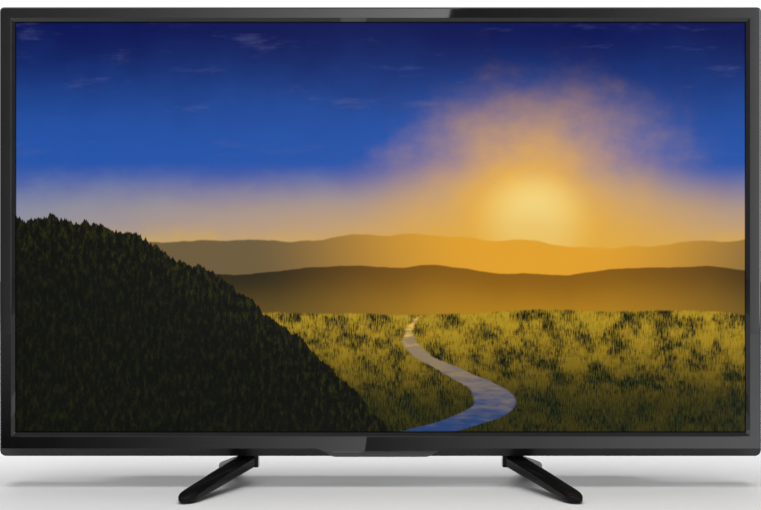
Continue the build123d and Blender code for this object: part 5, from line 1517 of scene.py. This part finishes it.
class FLATTV_OT_stage(Builder):
    """Pale floor, soft studio light and the camera of the photograph"""

    bl_idname = "flattv.stage"
    bl_label = "Floor, light and camera"

    def build(self, size, look):
        scene = bpy.context.scene
        scene.view_settings.view_transform = "Standard"
        world = bpy.data.worlds.new("Studio")
        scene.world = world
        tree = empty_tree(world)
        seen = tree.node("ShaderNodeLightPath").value("Is Camera Ray")
        # the camera sees pure white, and the pieces get a softer light
        soft, white = (
            tree.node("ShaderNodeBackground", None, {"Color": (1, 1, 1, 1), "Strength": strength}).value()
            for strength in (0.32, 1.0)
        )
        both = tree.node("ShaderNodeMixShader", None, {0: seen, 1: soft, 2: white}).value()
        tree.node("ShaderNodeOutputWorld", None, {"Surface": both})

        half = 6.0
        floor = bar((-half, -half, -0.01), (half, half, 0.0))
        floor.name = "floor"

        def floor_look(tree, place, shader):
            cloud = tree.noise(place, 3.0, 2.0)
            _, y, _ = tree.split(place)
            # painted shade: the floor's colour is 14 % darker in front of the TV than behind it, standing
            # in for the light falling off toward the front
            back = (y + cloud * 0.02).step(-0.25, 0.25)
            near = tuple(part * 0.86 for part in look.floor_tone)
            feed(
                tree,
                shader,
                Base_Color=tree.blend(back, near, tuple(look.floor_tone)),
                Roughness=0.35 + cloud * 0.1,
                Specular_IOR_Level=0.0,
            )

        floor.data.materials.append(material("Pale floor", floor_look))

        # two cards change at a leaning edge: the light falls off to its left and rises to its right
        def card_light(tree, place):
            x, _, z = tree.split(place)
            across = x - (z - 0.727) * 0.05 - 0.153
            left = (across + 1.1).most(0.0) ** 2.0 * 2.45 + 0.34
            right = (across / 1.2).most(0.0) ** 2.0 * 3.6 + 0.18
            first = across < 0.0
            return (left * first + right * (1.0 - first)) * look.card_light

        def low_light(tree, place):
            x, _, z = tree.split(place)
            across = x - (z - 0.02) * 0.1 + 0.0155
            left = (across / 0.42 + 1.0).most(0.0) ** 2.0 * 1.33 + 0.03
            right = (across / 0.4).most(0.0) * 1.5 + 0.22
            first = across < 0.0
            base = left * first + right * (1.0 - first)
            # toward its top it meets the front card's tones, and the lip under the picture sees one tone
            rise = ((z - 0.0225) / 0.111).clamp()
            side = base * (1.0 - rise) + (0.39 * first + 1.48 * (1.0 - first)) * rise
            inner = (z > 0.0262) * (abs(x) < 0.39)
            return (side * (1.0 - inner) + inner * 0.6) * look.card_light

        def lip_light(tree, place):
            return 1.35 * look.card_light

        def top_light(tree, place):
            return (tree.noise(place, 1.5, 2.0) * 0.3 + 1.2) * look.card_light

        # they stand in front of the TV, close before its foot, under its centre lip and above it
        cards = [
            self.card("Front card", (-2.6, -1.91, 0.02), (2.6, -1.9, 2.4), card_light),
            self.card("Low card", (-0.5, -0.201, -0.01), (0.5, -0.2, 0.134), low_light),
            self.card("Lip card", (-0.05, -0.2, 0.0004), (-0.018, -0.07, 0.0006), lip_light),
            self.card("Top card", (-1.6, -1.5, 1.5), (1.6, -0.42, 1.51), top_light),
        ]
        lamps = [
            light("Top light", 42.0, (0.0, -0.1, 2.4), ORIGIN, 2.6, 1.2),
            light("Rear light", 30.0, (0.0, 2.2, 1.6), (0.0, 0.0, 0.1), 3.0, 1.2),
            light("Front light", 12.0, (-0.8, -2.6, 1.6), (0.0, 0.0, 0.2), 2.0, 1.2),
        ]
        for lamp in lamps:
            lamp.visible_glossy = False
        # a small lamp that the gloss does show
        spark = light("Spark", 3.0, (0.0, -1.0, 1.7), ORIGIN, 0.12, 0.12)

        camera = hang("Camera", bpy.data.cameras.new("Camera"))
        camera.location = (0.0, -1.446, 0.243)
        camera.rotation_euler = (math.pi / 2, 0.0, 0.0)
        camera.data.lens = 71.3
        camera.data.sensor_width = 36.0
        camera.data.shift_y = -0.0293
        scene.camera = camera

    def card(self, name, low, high, shine):
        """A shining card that only the gloss sees."""
        card = bar(low, high)
        card.name = name
        card.data.materials.append(emitter(name, shine))
        card.visible_camera = False
        card.visible_diffuse = False
        card.visible_shadow = False
        return card


STEPS = [
    FLATTV_OT_bezel,
    FLATTV_OT_screen,
    FLATTV_OT_feet,
    FLATTV_OT_cover,
    FLATTV_OT_screws,
    FLATTV_OT_keys,
    FLATTV_OT_sockets,
    FLATTV_OT_small,
    FLATTV_OT_inside,
    FLATTV_OT_stage,
]


class FLATTV_PT_panel(bpy.types.Panel):
    """Lists the sizes, looks and pieces of the TV"""

    bl_idname = "FLATTV_PT_panel"
    bl_label = "Flat screen TV"
    bl_space_type = "VIEW_3D"
    bl_region_type = "UI"
    bl_category = "Flat TV"

    def draw(self, context):
        for group in (sizes(), looks()):
            box = self.layout.box()
            for key in group.__annotations__:
                box.prop(group, key)
        for step in STEPS:
            self.layout.operator(step.bl_idname)


CLASSES = [FlatTvSizes, FlatTvLooks, *STEPS, FLATTV_PT_panel]


def register():
    for made in CLASSES:
        bpy.utils.register_class(made)
    bpy.types.Scene.flat_tv_sizes = bpy.props.PointerProperty(type=FlatTvSizes)
    bpy.types.Scene.flat_tv_looks = bpy.props.PointerProperty(type=FlatTvLooks)


def unregister():
    del bpy.types.Scene.flat_tv_looks
    del bpy.types.Scene.flat_tv_sizes
    for made in reversed(CLASSES):
        bpy.utils.unregister_class(made)


def main():
    register()
    for step in STEPS:
        group, name = step.bl_idname.split(".")
        getattr(getattr(bpy.ops, group), name)()


if __name__ == "__main__":
    main()
